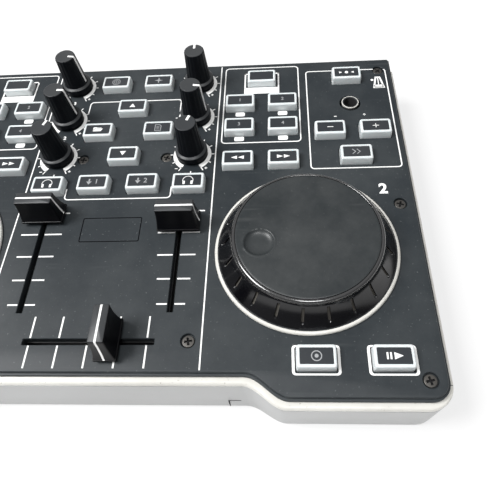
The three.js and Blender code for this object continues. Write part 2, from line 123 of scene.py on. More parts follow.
# %% The skin builder
class Skin:
    """Closed skins gathered as whole arrays, each with the number of its material."""

    def __init__(self):
        self.points, self.faces, self.numbers, self.count = [], [], [], 0

    def rings(self, grid, number=0, wrap=False):
        """Adds rings of shape (rows, columns, 3). Corner i, j joins i + 1 and j + 1, and columns wrap.
        With wrap the last row joins the first, and otherwise each end is filled with one face. The
        number may be an array with one for each face of the grid."""
        rows, columns, _ = grid.shape
        i = np.arange(rows if wrap else rows - 1)[:, None]
        j = np.arange(columns)[None, :]
        below, above = i * columns, (i + 1) % rows * columns
        ahead = (j + 1) % columns
        quads = np.stack([below + j, below + ahead, above + ahead, above + j], axis=-1)
        faces = (quads.reshape(-1, 4) + self.count).tolist()
        numbers = np.broadcast_to(number, quads.shape[:2]).ravel().tolist()
        if not wrap:
            numbers += [numbers[0], numbers[-1]]
            faces.append((np.arange(columns)[::-1] + self.count).tolist())
            faces.append((np.arange(columns) + (rows - 1) * columns + self.count).tolist())
        self._take(grid.reshape(-1, 3), faces, numbers)
        return self

    def prism(self, outline, low, high, number=0):
        """Adds a flat outline of shape (n, 2) raised from one height to another."""
        return self.rings(np.stack([at_height(outline, low), at_height(outline, high)]), number)

    def stroke(self, path, width, low, high, number=0, closed=False):
        """Adds a line of that width along a path of shape (n, 2). Each point moves half the width to
        both sides along its normal, lengthened at a corner by one over the cosine of half its turn."""
        left, right = sides_of(np.asarray(path, float), width / 2, closed)
        loop = [at_height(left, low), at_height(right, low), at_height(right, high), at_height(left, high)]
        grid = np.stack(loop, axis=1)
        return self.rings(grid, number, wrap=closed)

    def mesh(self, points, faces, number=0):
        """Adds points and faces that are closed already."""
        shifted = [[v + self.count for v in face] for face in faces]
        self._take(np.asarray(points, float), shifted, [number] * len(shifted))
        return self

    def _take(self, points, faces, numbers):
        self.points.append(points)
        self.faces.extend(faces)
        self.numbers.extend(numbers)
        self.count += len(points)


def at_height(outline, z):
    """A flat outline of shape (n, 2) as points at one height."""
    outline = np.asarray(outline, float)
    return np.column_stack([outline, np.full(len(outline), float(z))])


def sides_of(path, reach, closed):
    """The two sides of a path, each a reach away along the mitred normals."""
    if closed:
        before, after = np.roll(path, 1, axis=0), np.roll(path, -1, axis=0)
    else:
        before = np.vstack([2 * path[0] - path[1], path[:-1]])
        after = np.vstack([path[1:], 2 * path[-1] - path[-2]])
    inward = (path - before) / np.linalg.norm(path - before, axis=1, keepdims=True)
    outward = (after - path) / np.linalg.norm(after - path, axis=1, keepdims=True)
    mean = inward + outward
    mean /= np.linalg.norm(mean, axis=1, keepdims=True)
    normal = np.column_stack([-mean[:, 1], mean[:, 0]])
    stretch = reach / np.sum(mean * inward, axis=1, keepdims=True)
    return path + normal * stretch, path - normal * stretch


# %% [markdown]
# ## Small outlines
# Rounded rectangles, arcs and discs turn up everywhere, from button caps to printed frames, so each is a
# short formula.


# %% Outline formulas
def rounded_rectangle(half_width, half_depth, radius, steps=6, centre=(0, 0)):
    """Four quarter circles of that radius, one round each corner, joined by the straight sides."""
    quarter = np.linspace(0, np.pi / 2, steps)
    signs = [(1, 1), (-1, 1), (-1, -1), (1, -1)]
    corners = [
        np.column_stack([
            sx * (half_width - radius) + radius * np.cos(quarter + k * np.pi / 2),
            sy * (half_depth - radius) + radius * np.sin(quarter + k * np.pi / 2),
        ])
        for k, (sx, sy) in enumerate(signs)
    ]
    return np.concatenate(corners) + np.asarray(centre, float)


def arc(centre, radius, start, stop, steps=32):
    """Points on a circle between two angles in degrees, counted anticlockwise from +X."""
    t = np.radians(np.linspace(start, stop, steps))
    return np.column_stack([centre[0] + radius * np.cos(t), centre[1] + radius * np.sin(t)])


def disc(centre, radius, steps=32):
    """A whole circle, without its last point twice."""
    return arc(centre, radius, 0, 360, steps + 1)[:-1]


def turned(profile, columns, centre=(0, 0)):
    """A profile of (radius, height) pairs turned round an upright axis: x and y are the radius times
    the cosine and sine of the angle."""
    profile = np.asarray(profile, float)
    t = np.linspace(0, TURN, columns, endpoint=False)
    x = centre[0] + profile[:, :1] * np.cos(t)
    y = centre[1] + profile[:, :1] * np.sin(t)
    z = np.broadcast_to(profile[:, 1:], x.shape)
    return np.stack([x, y, z], axis=-1)


def smoothstep(low, high, value):
    """0 below low, 1 above high, and 3 t squared less 2 t cubed between."""
    t = np.clip((value - low) / (high - low), 0, 1)
    return t * t * (3 - 2 * t)


# %% [markdown]
# ## From a skin to a piece
# The last step is the same for all: write the arrays into a mesh in metres, merge what coincides, turn
# the faces outwards, shade smooth up to a sharp angle, and hand the piece to the body that carries it.

# %% Making and mounting pieces
SHARP = math.radians(38)
made = []


def as_object(name, skin):
    """A mesh object in the frame's metres from a skin in the datum's millimetres."""
    points = np.concatenate(skin.points) * MM + np.array(datum)
    data = bpy.data.meshes.new(name)
    data.from_pydata(points.tolist(), [], skin.faces)
    data.polygons.foreach_set("material_index", np.array(skin.numbers, np.int32))
    work = bmesh.new()
    work.from_mesh(data)
    bmesh.ops.remove_doubles(work, verts=work.verts, dist=1e-7)
    bmesh.ops.recalc_face_normals(work, faces=work.faces)
    work.to_mesh(data)
    work.free()
    thing = bpy.data.objects.new(name, data)
    bpy.context.scene.collection.objects.link(thing)
    return thing


def shade(thing, angle=SHARP):
    """Smooth shading with edges kept sharp above an angle."""
    thing.data.polygons.foreach_set("use_smooth", np.ones(len(thing.data.polygons), bool))
    thing.data.set_sharp_from_angle(angle=angle)


def mount(thing, finishes, body, stands_for=()):
    """Gives a piece its materials, its body and the nodes it stands for."""
    for finish in finishes:
        thing.data.materials.append(finish)
    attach(thing, body)
    if stands_for:
        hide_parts(*stands_for)
    made.append(thing)
    return thing


def piece(name, skin, finishes, body, stands_for=(), angle=SHARP):
    """A skin as a shaded, mounted piece."""
    thing = as_object(name, skin)
    shade(thing, angle)
    return mount(thing, finishes, body, stands_for)


# %% [markdown]
# ## Shared effects
# Three effects come back in most of the finishes, so each is a node group with named sockets: the fine
# grain of a moulding, the dust and specks that settle on flat tops, and the brushed scuffs of a used
# surface. They put out masks and heights, and each material mixes them in its own way.


# %% Group helpers
def new_group(name, inputs, outputs):
    """An empty shader node group with float inputs (name, default) and named outputs."""
    group = bpy.data.node_groups.new(name, "ShaderNodeTree")
    for label, default in inputs:
        socket = group.interface.new_socket(name=label, in_out="INPUT", socket_type="NodeSocketFloat")
        socket.default_value = default
    for label, kind in outputs:
        group.interface.new_socket(name=label, in_out="OUTPUT", socket_type=kind)
    start = group.nodes.new("NodeGroupInput")
    end = group.nodes.new("NodeGroupOutput")
    place = group.nodes.new("ShaderNodeTexCoord")
    return group, start, end, place


def noise(tree, vector, detail, scale=None, roughness=0.5):
    """A noise texture; its scale may be a number or a socket."""
    node = tree.nodes.new("ShaderNodeTexNoise")
    node.inputs["Detail"].default_value = detail
    node.inputs["Roughness"].default_value = roughness
    tree.links.new(vector, node.inputs["Vector"])
    if isinstance(scale, (int, float)):
        node.inputs["Scale"].default_value = scale
    else:
        tree.links.new(scale, node.inputs["Scale"])
    return node.outputs["Fac"]


def ramp(tree, value, low, high, to_low=0.0, to_high=1.0):
    """Maps a value from one range to another, clamped."""
    node = tree.nodes.new("ShaderNodeMapRange")
    for label, number in (("From Min", low), ("From Max", high), ("To Min", to_low), ("To Max", to_high)):
        if isinstance(number, (int, float)):
            node.inputs[label].default_value = number
        else:
            tree.links.new(number, node.inputs[label])
    tree.links.new(value, node.inputs["Value"])
    return node.outputs["Result"]


def maths(tree, operation, first, second):
    """One maths node; each side may be a number or a socket."""
    node = tree.nodes.new("ShaderNodeMath")
    node.operation = operation
    for socket, value in zip(node.inputs, (first, second)):
        if isinstance(value, (int, float)):
            socket.default_value = value
        else:
            tree.links.new(value, socket)
    return node.outputs[0]


def mapped(tree, vector, scale=(1, 1, 1), turn=0.0):
    """The vector turned about Z and scaled."""
    node = tree.nodes.new("ShaderNodeMapping")
    node.inputs["Scale"].default_value = scale
    node.inputs["Rotation"].default_value[2] = turn
    tree.links.new(vector, node.inputs["Vector"])
    return node.outputs["Vector"]


# %% The three groups
FLOAT = "NodeSocketFloat"

grain_group, start, end, place = new_group("moulded_grain", [("Scale", 2500.0)], [("Height", FLOAT)])
fine = noise(grain_group, place.outputs["Object"], 3, start.outputs["Scale"])
grain_group.links.new(fine, end.inputs["Height"])

dust_group, start, end, place = new_group(
    "settled_dust", [("Specks", 0.5), ("Film", 0.5)], [("Mask", FLOAT)])
cloud = ramp(dust_group, noise(dust_group, place.outputs["Object"], 6, 22.0, 0.65), 0.42, 0.72)
speck_noise = noise(dust_group, place.outputs["Object"], 2, 900.0, 0.6)
speck = ramp(dust_group, speck_noise, 0.67, 0.74)
film = maths(dust_group, "MULTIPLY", cloud, start.outputs["Film"])
specks = maths(dust_group, "MULTIPLY", speck, start.outputs["Specks"])
total = maths(dust_group, "ADD", film, specks)
dust_group.links.new(ramp(dust_group, total, 0.0, 1.0), end.inputs["Mask"])

scuff_group, start, end, place = new_group(
    "brushed_scuffs", [("Amount", 0.5)], [("Mask", FLOAT)])
long_way = mapped(scuff_group, place.outputs["Object"], (14, 260, 60), 0.5)
other_way = mapped(scuff_group, place.outputs["Object"], (18, 330, 60), -0.35)
first = ramp(scuff_group, noise(scuff_group, long_way, 4, 1.0, 0.6), 0.57, 0.75)
second = ramp(scuff_group, noise(scuff_group, other_way, 4, 1.3, 0.6), 0.6, 0.8)
patch = ramp(scuff_group, noise(scuff_group, place.outputs["Object"], 3, 30.0), 0.38, 0.66)
lines = maths(scuff_group, "MAXIMUM", first, second)
scuff = maths(scuff_group, "MULTIPLY", lines, patch)
scuff_group.links.new(maths(scuff_group, "MULTIPLY", scuff, start.outputs["Amount"]), end.inputs["Mask"])
print("groups:", [group.name for group in bpy.data.node_groups])

# %% [markdown]
# ## One recipe for mouldings
# Most finishes here are a base colour that varies a little, a film of dust or scuffs that lightens it
# and changes its roughness, and a fine bump. The recipe takes those as numbers. What is constant, such as
# a coat or a sheen, goes straight onto the shader's own sockets.


# %% The moulding recipe
def use_group(tree, group, **values):
    """Places a group in a material with its own values."""
    node = tree.nodes.new("ShaderNodeGroup")
    node.node_tree = group
    for label, value in values.items():
        node.inputs[label].default_value = value
    return node


def mix_colour(tree, mask, first, second):
    """A colour mix by a mask; each colour may be a triple or a socket."""
    node = tree.nodes.new("ShaderNodeMix")
    node.data_type = "RGBA"
    tree.links.new(mask, node.inputs[0])
    for socket, value in ((node.inputs[6], first), (node.inputs[7], second)):
        if isinstance(value, tuple):
            socket.default_value = (*value, 1)
        else:
            tree.links.new(value, socket)
    return node.outputs[2]


SOCKETS = {"specular_ior_level": "Specular IOR Level"}


def moulding(name, colour, dusty, roughness, dull, specks=0.3, film=0.3, scuffs=0.2,
             grain=2500.0, bump=0.05, **constants):
    """A plastic or paint: colour drifts towards dusty, and roughness towards dull, under the dust and
    scuff masks. The grain's bump is a fraction of 0.1 mm."""
    finish = bpy.data.materials.new(name)
    finish.use_nodes = True
    tree = finish.node_tree
    shader = tree.nodes["Principled BSDF"]
    dust = use_group(tree, dust_group, Specks=specks, Film=film)
    scuff = use_group(tree, scuff_group, Amount=scuffs)
    worn = maths(tree, "MAXIMUM", dust.outputs["Mask"], scuff.outputs["Mask"])
    tree.links.new(mix_colour(tree, worn, colour, dusty), shader.inputs["Base Color"])
    tree.links.new(ramp(tree, worn, 0.0, 1.0, roughness, dull), shader.inputs["Roughness"])
    height = use_group(tree, grain_group, Scale=grain)
    relief = tree.nodes.new("ShaderNodeBump")
    relief.inputs["Strength"].default_value = bump
    relief.inputs["Distance"].default_value = 0.0001
    tree.links.new(height.outputs["Height"], relief.inputs["Height"])
    tree.links.new(relief.outputs["Normal"], shader.inputs["Normal"])
    for label, value in constants.items():
        shader.inputs[SOCKETS.get(label, label.replace("_", " ").title())].default_value = value
    return finish


# %% The finishes
panel_black = moulding("panel_black", (0.019, 0.024, 0.028), (0.10, 0.108, 0.11), 0.42, 0.62,
                       specks=0.9, film=0.28, scuffs=0.4, grain=3200.0, bump=0.25, specular_ior_level=0.25)
print_white = moulding("print_white", (0.90, 0.90, 0.89), (0.62, 0.62, 0.60), 0.5, 0.6,
                       specks=0.2, film=0.2, scuffs=0.3)
button_clear = moulding("button_clear", (0.70, 0.74, 0.75), (0.56, 0.58, 0.57), 0.28, 0.4,
                        specks=0.1, film=0.3, scuffs=0.1, bump=0.03, subsurface_weight=0.6,
                        subsurface_radius=(0.002, 0.0022, 0.0022))
label_dark = moulding("label_dark", (0.016, 0.020, 0.025), (0.07, 0.07, 0.07), 0.35, 0.5,
                      specks=0.3, film=0.25, scuffs=0.35)
print_dim = moulding("print_dim", (0.33, 0.34, 0.35), (0.26, 0.26, 0.26), 0.5, 0.6)
# a dark grey: on knob and cap tops and knob skirt slopes it is painted light on faces turned up to the lamps, on the
# jog rings' inner part painted shade from the skirt, and on the pitch sleeves their own grey
top_grey = moulding("top_grey", (0.030, 0.033, 0.036), (0.08, 0.08, 0.08), 0.38, 0.55, specks=0.4, film=0.3,
                    scuffs=0.4, specular_ior_level=0.35)
plate_edge = moulding("plate_edge", (0.002, 0.002, 0.003), (0.01, 0.01, 0.01), 0.5, 0.6, specks=0.0, film=0.0,
                      scuffs=0.0, specular_ior_level=0.05)
knob_black = moulding("knob_black", (0.003, 0.004, 0.006), (0.03, 0.033, 0.038), 0.42, 0.55,
                      specks=0.15, film=0.06, scuffs=0.1, grain=1800.0, bump=0.2, specular_ior_level=0.15)
cap_black = moulding("cap_black", (0.002, 0.002, 0.003), (0.02, 0.02, 0.022), 0.3, 0.5,
                     specks=0.15, film=0.08, scuffs=0.2, specular_ior_level=0.2)
jog_gloss = moulding("jog_gloss", (0.002, 0.002, 0.003), (0.02, 0.02, 0.02), 0.12, 0.35,
                     specks=0.3, film=0.08, scuffs=0.1, bump=0.01)
jog_edge = moulding("jog_edge", (0.010, 0.010, 0.011), (0.03, 0.03, 0.03), 0.16, 0.3, specks=0.1, film=0.05,
                    scuffs=0.1, bump=0.01, specular_ior_level=1.0, coat_weight=1.0, coat_roughness=0.08)
# a lighter grey painted into the jog wheels' slots as their highlight
slot_highlight = moulding("slot_highlight", (0.050, 0.046, 0.040), (0.14, 0.13, 0.11), 0.6, 0.7, specks=0.5, film=0.5)
disc_satin = moulding("disc_satin", (0.015, 0.019, 0.021), (0.085, 0.088, 0.088), 0.33, 0.62,
                      specks=0.3, film=0.45, scuffs=1.0, bump=0.06, specular_ior_level=0.45)
rim_white = moulding("rim_white", (0.70, 0.69, 0.65), (0.26, 0.235, 0.20), 0.28, 0.45,
                     specks=0.7, film=0.35, scuffs=0.6)
bumper_silver = moulding("bumper_silver", (0.44, 0.445, 0.445), (0.30, 0.295, 0.28), 0.34, 0.5,
                         specks=0.2, film=0.15, scuffs=0.2, bump=0.08, metallic=0.3)
case_black = moulding("case_black", (0.014, 0.015, 0.017), (0.05, 0.05, 0.05), 0.5, 0.65,
                      specks=0.2, film=0.3, scuffs=0.2, grain=1400.0, bump=0.5)
rubber = moulding("rubber", (0.012, 0.012, 0.013), (0.04, 0.04, 0.04), 0.75, 0.85, grain=900.0, bump=0.3)
# near black that paints the shade in recesses: the screws' crosses, the bumper's groove and notch, and the pitch
# sleeves' sockets
shade_black = moulding("shade_black", (0.003, 0.003, 0.004), (0.01, 0.01, 0.01), 0.9, 0.95,
                      grain=6000.0, bump=0.6)
screw_black = moulding("screw_black", (0.07, 0.067, 0.063), (0.15, 0.14, 0.125), 0.4, 0.6,
                       specks=0.2, film=0.5, scuffs=0.5, metallic=0.6)
nickel = moulding("nickel", (0.62, 0.61, 0.59), (0.40, 0.39, 0.36), 0.25, 0.45,
                  scuffs=0.5, metallic=1.0)
brass_pin = moulding("brass_pin", (0.75, 0.58, 0.28), (0.5, 0.4, 0.22), 0.25, 0.4, metallic=1.0)
tongue_white = moulding("tongue_white", (0.72, 0.72, 0.70), (0.6, 0.6, 0.58), 0.4, 0.5)
board_finish = moulding("board_finish", (0.006, 0.007, 0.008), (0.02, 0.02, 0.02), 0.45, 0.6)
print("finishes:", len(bpy.data.materials))

# %% [markdown]
# ## The panel
# The real panel is a moulded plate in two steps, a lip below and a slightly smaller face above, both
# with eased edges. Its outline is straight at the sides and back, and in front it steps back across the
# mixer on two curved slants. The plate is one stack of rings of that outline, each pushed in or out and
# up, and the openings are cut from it by tools that flare at the top, which leaves a small chamfer.

# %% The outline
WING_FRONT = -20.0
CENTRE_FRONT = -11.4
SLANT = (58.7, 75.0)
EASE = 5.9
CORNER = 6.0
SLANT_SHIFT = 0.32  # the slant's ends move this share of an offset sideways


SLANT_STEPS = 14


def curve(start, pull_start, pull_end, end, steps=SLANT_STEPS):
    """A cubic Bezier curve: the four points weighted by (1-t)^3, 3t(1-t)^2, 3t^2(1-t) and t^3."""
    t = np.linspace(0, 1, steps)[:, None]
    points = [np.asarray(p, float) for p in (start, pull_start, pull_end, end)]
    weights = ((1 - t) ** 3, 3 * t * (1 - t) ** 2, 3 * t * t * (1 - t), t ** 3)
    return sum(w * p for w, p in zip(weights, points))


def front_edge(side, front):
    """The right half of the front outline, from the middle to the end of the corner, standing outside
    the panel's upper step by two offsets."""
    x = PANEL_HALF + side
    wing, middle = WING_FRONT - front, CENTRE_FRONT - front
    radius = CORNER + front
    inner, outer = (edge - SLANT_SHIFT * front for edge in SLANT)
    slant = curve((inner, middle), (inner + EASE, middle), (outer - EASE, wing), (outer, wing))
    corner = arc((x - radius, wing + radius), radius, -90, 0, 14)
    return np.concatenate([slant, corner])


def panel_ring(offset, z):
    """The whole outline at one offset and height, anticlockwise from above."""
    right = front_edge(offset, offset)
    back = PANEL_BACK + offset
    half = PANEL_HALF + offset
    nick = 0.35
    rear = np.array([[half, back - nick], [half - nick, back]])
    half_ring = np.concatenate([right, rear])
    left = half_ring[::-1] * [-1, 1]
    return at_height(np.concatenate([half_ring, left]), z)


# %% The plate and its openings
panel_steps = [
    (LIP - 0.15, -3.0), (LIP, -2.85), (LIP, -1.75), (LIP - 0.1, -1.57), (LIP - 0.3, -1.5), (0.02, -1.5),
    (0.0, -1.4), (0.0, -0.55), (-0.08, -0.3), (-0.25, -0.1), (-0.55, 0.0),
]
plate = as_object("panel", Skin().rings(np.stack([panel_ring(*step) for step in panel_steps])))

CHAMFER = 0.2
buttons = sorted(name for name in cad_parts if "_button" in name)
knobs = sorted(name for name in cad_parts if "_knob" in name)
shafts = sorted(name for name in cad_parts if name.startswith("pitch_shaft"))
wheels = sorted(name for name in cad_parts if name.startswith("jog_wheel"))
cap_names = sorted(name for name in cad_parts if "fader_cap" in name)
screw_places = [
    (sx * x, y)
    for x, y in ((PANEL_HALF - 6, -14), (PANEL_HALF - 6, 60.6), (PANEL_HALF - 6, 144.5), (37.8, 0.3), (20, 89.8))
    for sx in (-1, 1)
]
VOLUME_X = abs(centre_of("volume_fader_cap_b")[0])
slots = [((0, 0), (50.5, 2.4)), ((-VOLUME_X, 37), (2.4, 50.5)), ((VOLUME_X, 37), (2.4, 50.5))]

cutter = Skin()


def cut_out(outline_at, bottom=-5.0):
    """Adds a cutting tool: straight up to just below the face, then flared. outline_at gives the
    outline for an offset."""
    levels = [(0, bottom), (0, -CHAMFER), (1.5 * CHAMFER, 0.5 * CHAMFER)]
    cutter.rings(np.stack([at_height(outline_at(offset), z) for offset, z in levels]))


BUTTON_HALF = (7.1, 4.3)
for name in buttons:
    spot = centre_of(name)
    cut_out(lambda o: rounded_rectangle(BUTTON_HALF[0] + 0.35 + o, BUTTON_HALF[1] + 0.35 + o, 0.7 + o, 5,
                                        spot))
for name in knobs:
    cut_out(lambda o: disc(centre_of(name), 3.6 + o))
for name in shafts:
    cut_out(lambda o: disc(centre_of(name), 5.0 + o, 64))
for name in wheels:
    cut_out(lambda o: disc(centre_of(name), 7.0 + o, 48))
for spot, (width, depth) in slots:
    cut_out(lambda o: rounded_rectangle(width / 2 + o, depth / 2 + o, 0.3, 4, spot))
for spot in screw_places:
    cut_out(lambda o: disc(spot, 2.8 + o, 40), -1.5)

tool = as_object("panel_cutter", cutter)
cutting = plate.modifiers.new("openings", "BOOLEAN")
cutting.object = tool
cutting.operation = "DIFFERENCE"
cutting.solver = "EXACT"
depsgraph = bpy.context.evaluated_depsgraph_get()
cut_plate = bpy.data.meshes.new_from_object(plate.evaluated_get(depsgraph))
plate.modifiers.clear()
plate.data = cut_plate
bpy.data.objects.remove(tool)
shade(plate, math.radians(30))
mount(plate, [panel_black], "case", ["faceplate"])
print("panel:", len(plate.data.polygons), "faces,", len(screw_places), "screw seats")

# %% [markdown]
# ## Plain numerals
# Decks, pads and tone bands carry plain numbers. A numeral starts as a Text object with the built-in
# font, which extrudes into a closed solid, and only its points and faces are kept.

# %% A numeral as a solid
def number_mesh(text, height, spot, low, high, boldness=0.012):
    """A plain numeral from the built-in font as closed points and faces in millimetres."""
    data = bpy.data.curves.new("numeral", "FONT")
    data.body = text
    data.size = 1.4 * height
    data.align_x = "CENTER"
    data.align_y = "CENTER"
    data.extrude = (high - low) / 2
    data.offset = boldness * height
    data.resolution_u = 4
    carrier = bpy.data.objects.new("numeral", data)
    bpy.context.scene.collection.objects.link(carrier)
    bpy.context.view_layer.update()
    flat = bpy.data.meshes.new_from_object(carrier.evaluated_get(bpy.context.evaluated_depsgraph_get()))
    points = np.zeros(len(flat.vertices) * 3)
    flat.vertices.foreach_get("co", points)
    points = points.reshape(-1, 3) + [spot[0], spot[1], (low + high) / 2]
    faces = [list(polygon.vertices) for polygon in flat.polygons]
    bpy.data.objects.remove(carrier)
    return points, faces


# %% [markdown]
# ## Prints on the panel
# The white lines are a pad print, a few hundredths of a millimetre of ink. They are real geometry here,
# thin closed slabs that stand just above the face. Lines and arcs are strokes, signs are prisms.

# %% Printed lines, scales and frames
INK_LOW, INK = -0.06, 0.05
LINE = 0.55
ink = Skin()


def line(path, width=LINE, closed=False):
    ink.stroke(path, width, INK_LOW, INK, closed=closed)


def bar(x, y, width, depth):
    ink.prism(rounded_rectangle(width / 2, depth / 2, 0.08, 2, (x, y)), INK_LOW, INK)


def frame_print(spot, outer, inner, radius, inner_radius):
    """A flat frame: the outer and the inner rounded rectangle joined into a square-edged ring."""
    out = rounded_rectangle(outer[0] / 2, outer[1] / 2, radius, 6, spot)
    inside = rounded_rectangle(inner[0] / 2, inner[1] / 2, inner_radius, 6, spot)
    loop = [at_height(out, INK_LOW), at_height(out, INK), at_height(inside, INK), at_height(inside, INK_LOW)]
    ink.rings(np.stack(loop), wrap=True)


def both(path):
    """A path and its mirror image in the middle of the panel."""
    path = np.asarray(path, float)
    return path, path * [-1, 1]


# the dividers between mixer and decks
for x in (-42.85, 42.85):
    line([(x, CENTRE_FRONT + 0.7), (x, PANEL_BACK - 1.2)])

# the box round the pads, and the box round the pitch controls, broken where a screw sits in its line
pads_box = rounded_rectangle(18.65, 26.2, 1.8, 6, (63.85, 123.5))
pitch_low, pitch_high, pitch_left, pitch_right = 80.5, 145.2, 86.5, 126.5
bend = 1.6
pitch_path = np.concatenate([
    [(120.6, pitch_high)],
    arc((pitch_left + bend, pitch_high - bend), bend, 90, 180, 6),
    arc((pitch_left + bend, pitch_low + bend), bend, 180, 270, 6),
    arc((pitch_right - bend, pitch_low + bend), bend, 270, 360, 6),
    arc((pitch_right - bend, pitch_high - bend), bend, 0, 55, 5),
])
for path in both(pads_box):
    line(path, closed=True)
for path in both(pitch_path):
    line(path)

# the browser's brackets
top_bracket = np.concatenate([
    [(23.4, 119.5)], arc((23.4 - bend, 128 - bend), bend, 0, 90, 6),
    arc((-23.4 + bend, 128 - bend), bend, 90, 180, 6), [(-23.4, 119.5)],
])
low_bracket = np.concatenate([
    [(-24, 72.3)], arc((-24 + bend, 66.2 + bend), bend, 180, 270, 6),
    arc((24 - bend, 66.2 + bend), bend, 270, 360, 6), [(24, 72.3)],
])
line(top_bracket)
line(low_bracket)

# fader scales
TICK = 0.65
for x in (-22.5, -11.25, 0, 11.25, 22.5):
    for y0, y1 in ((1.5, 10.06), (-10.05, -1.5)):
        line([(x, y0), (x, y1)], TICK)
for y, reach in ((58.83, 10.3), (47.9, 8.94), (37.0, 7.9), (26.0, 6.73), (15.1, 5.62)):
    for middle in (-VOLUME_X, VOLUME_X):
        line([(middle + 1.5, y), (middle + reach, y)], TICK)
        line([(middle - reach, y), (middle - 1.5, y)], TICK)

# knob scales: a crescent open at the front and broader towards its ends, eleven ticks, and two signs
crescent_angle = np.radians(np.linspace(-62, 242, 80))
crescent_reach = 8.75 + 0.7 * np.abs(np.linspace(-1, 1, 80)) ** 3
crescent = np.column_stack([np.cos(crescent_angle), np.sin(crescent_angle)])
crescent = np.concatenate([crescent * crescent_reach[:, None], crescent[::-1] * 7.2])
for name in knobs:
    x, y = centre_of(name)
    ink.prism(crescent + (x, y), INK_LOW, INK)
    for k in range(11):
        angle = math.radians(-60 + 30 * k)
        direction = np.array([math.cos(angle), math.sin(angle)])
        stop = 11.2 if k in (0, 10) else 10.3 if k % 5 else 10.8
        line([(x, y) + direction * 8.5, (x, y) + direction * stop], 0.45)
    for sign in (-1, 1):
        bar(x + sign * 6.85, y - 8.4, 1.3, 0.4)
    bar(x + 6.85, y - 8.4, 0.4, 1.3)

# frames under cue and play, the shift button's plate, and the pads' pills
for name in buttons:
    x, y = centre_of(name)
    if name.startswith(("cue", "play")):
        frame_print((x, y - 0.45), (17.2, 10.95), (15.3, 9.65), 1.3, 0.8)
    if name.startswith("shift"):
        bar(x, y - 7.0, 17.7, 4.4)
        for sign in (-1, 1):
            bar(x + sign * 8.5, y + 0.6, 0.75, 10.6)
        bar(x, y + 5.55, 17.7, 0.75)
    if name.startswith("pad"):
        ink.prism(rounded_rectangle(2.3, 1.35, 0.75, 6, (x, y - 6.3)), INK_LOW, INK)

# the three bands are numbered from the front
for name in knobs:
    x, y = centre_of(name)
    band = {"bass": "1", "medium": "2", "treble": "3"}[name.split("_")[0]]
    ink.mesh(*number_mesh(band, 2.0, (x, y - 11.3), INK_LOW, INK, 0.05))

# signs beside the pitch encoders
for name in shafts:
    x, y = centre_of(name)
    bar(x - 7.7, y - 8.8, 1.3, 0.45)
    bar(x + 6.1, y - 8.1, 1.3, 0.45)
    bar(x + 6.1, y - 8.1, 0.45, 1.3)


# %% Deck numbers and metronomes
for sign, text in ((-1, "1"), (1, "2")):
    ink.mesh(*number_mesh(text, 5.2, (sign * 116.7, 68.3), INK_LOW, INK, 0.05))
    metronome_x = sign * 122.3
    body = np.array([(-2.4, -3.7), (2.4, -3.7), (1.0, 3.7), (-1.0, 3.7)]) + (metronome_x, 135.4)
    line(body, 0.85, closed=True)
    bar(metronome_x, 132.6, 4.4, 2.0)
    bar(metronome_x, 136.0, 0.5, 5.4)
    ink.prism(disc((metronome_x - 2.9, 137.2), 0.7, 20), INK_LOW, INK)

piece("panel_print", ink, [print_white], "case")
plate_line = Skin().stroke(rounded_rectangle(12.75, 5.95, 0.5, 4, (0.15, 49.9)), 0.42, INK_LOW, 0.04,
                           closed=True)
piece("nameplate_outline", plate_line, [plate_edge], "case")
print("prints:", ink.count, "points")

# %% [markdown]
# ## Screws
# Ten black cross-head screws hold the panel down, each sunk in its own seat. A head is a disc of points
# in polar form whose height drops inside the cross, where either coordinate is small and the other is
# still short.

# %% Screw heads
SCREW_RADIUS = 2.3


def screw_head(spot, turn):
    """Rows run out from the middle and columns round it. The height is a shallow dome, less a slot
    depth times the smooth mask of two crossed bars."""
    t = np.linspace(0, TURN, 72, endpoint=False)[None, :]
    r = np.concatenate([np.linspace(0.02, 1.7, 26), np.linspace(1.8, SCREW_RADIUS, 6)])[:, None]
    x, y = r * np.cos(t), r * np.sin(t)
    u = np.abs(x * math.cos(turn) + y * math.sin(turn))
    v = np.abs(y * math.cos(turn) - x * math.sin(turn))
    narrow, reach = np.minimum(u, v), np.maximum(u, v)
    cross = (1 - smoothstep(0.3, 0.42, narrow)) * (1 - smoothstep(1.3, 1.55, reach))
    z = -0.5 - 0.03 * r ** 2 - 0.85 * cross
    z = np.where(r > 2.1, z - 3 * (r - 2.1) ** 2, z)
    top = np.stack([spot[0] + x, spot[1] + y, z], axis=-1)
    skirt = top[-1:].copy()
    skirt[..., 2] = -1.46
    # faces inside the cross take a near-black painted shade
    return np.concatenate([top, skirt]), (cross > 0.5).astype(int)


screws = Skin()
for k, spot in enumerate(screw_places):
    screws.rings(*screw_head(spot, 0.5 + 1.3 * k))
piece("panel_screws", screws, [screw_black, shade_black], "case")
print("screws:", len(screw_places))

# %% [markdown]
# ## The silver bumper and side trims
# A silver wall wraps the front, and two straight strips follow it down the sides. Both are one section
# carried along the outline: a flat rim, a rounded shoulder, a fine groove under it, and a plain wall.
# Across the mixer the wall also leans out a little towards the bottom.

# %% The wall's section
WALL_LOW, WALL_HIGH = level_of("front_bumper")
BUMPER_SIDE, BUMPER_FRONT = 2.5, 3.4
FRONT_WALL, SIDE_WALL = 3.2, 2.6
SEAM = -15.0
WALL_DEPTH, WALL_LEAN = 24.7, 2.0
wall_section = np.array([  # (in from the outer face, down from the rim)
    (3.2, WALL_DEPTH), (3.2, 0.2), (3.0, 0), (1.2, 0), (0.75, 0.07), (0.38, 0.26), (0.12, 0.6), (0, 1.1),
    (0, 2.0), (0.08, 2.08), (0.42, 2.15), (0.42, 2.6), (0.08, 2.67), (0, 2.75), (0, 23.9),
    (0.1, 24.3), (0.35, 24.6), (0.7, WALL_DEPTH),
])


section_number = np.isin(np.arange(len(wall_section)), range(1, 8)).astype(int)  # the rim is 1
section_number[10] = 2  # the bottom of the groove takes a near-black painted shade
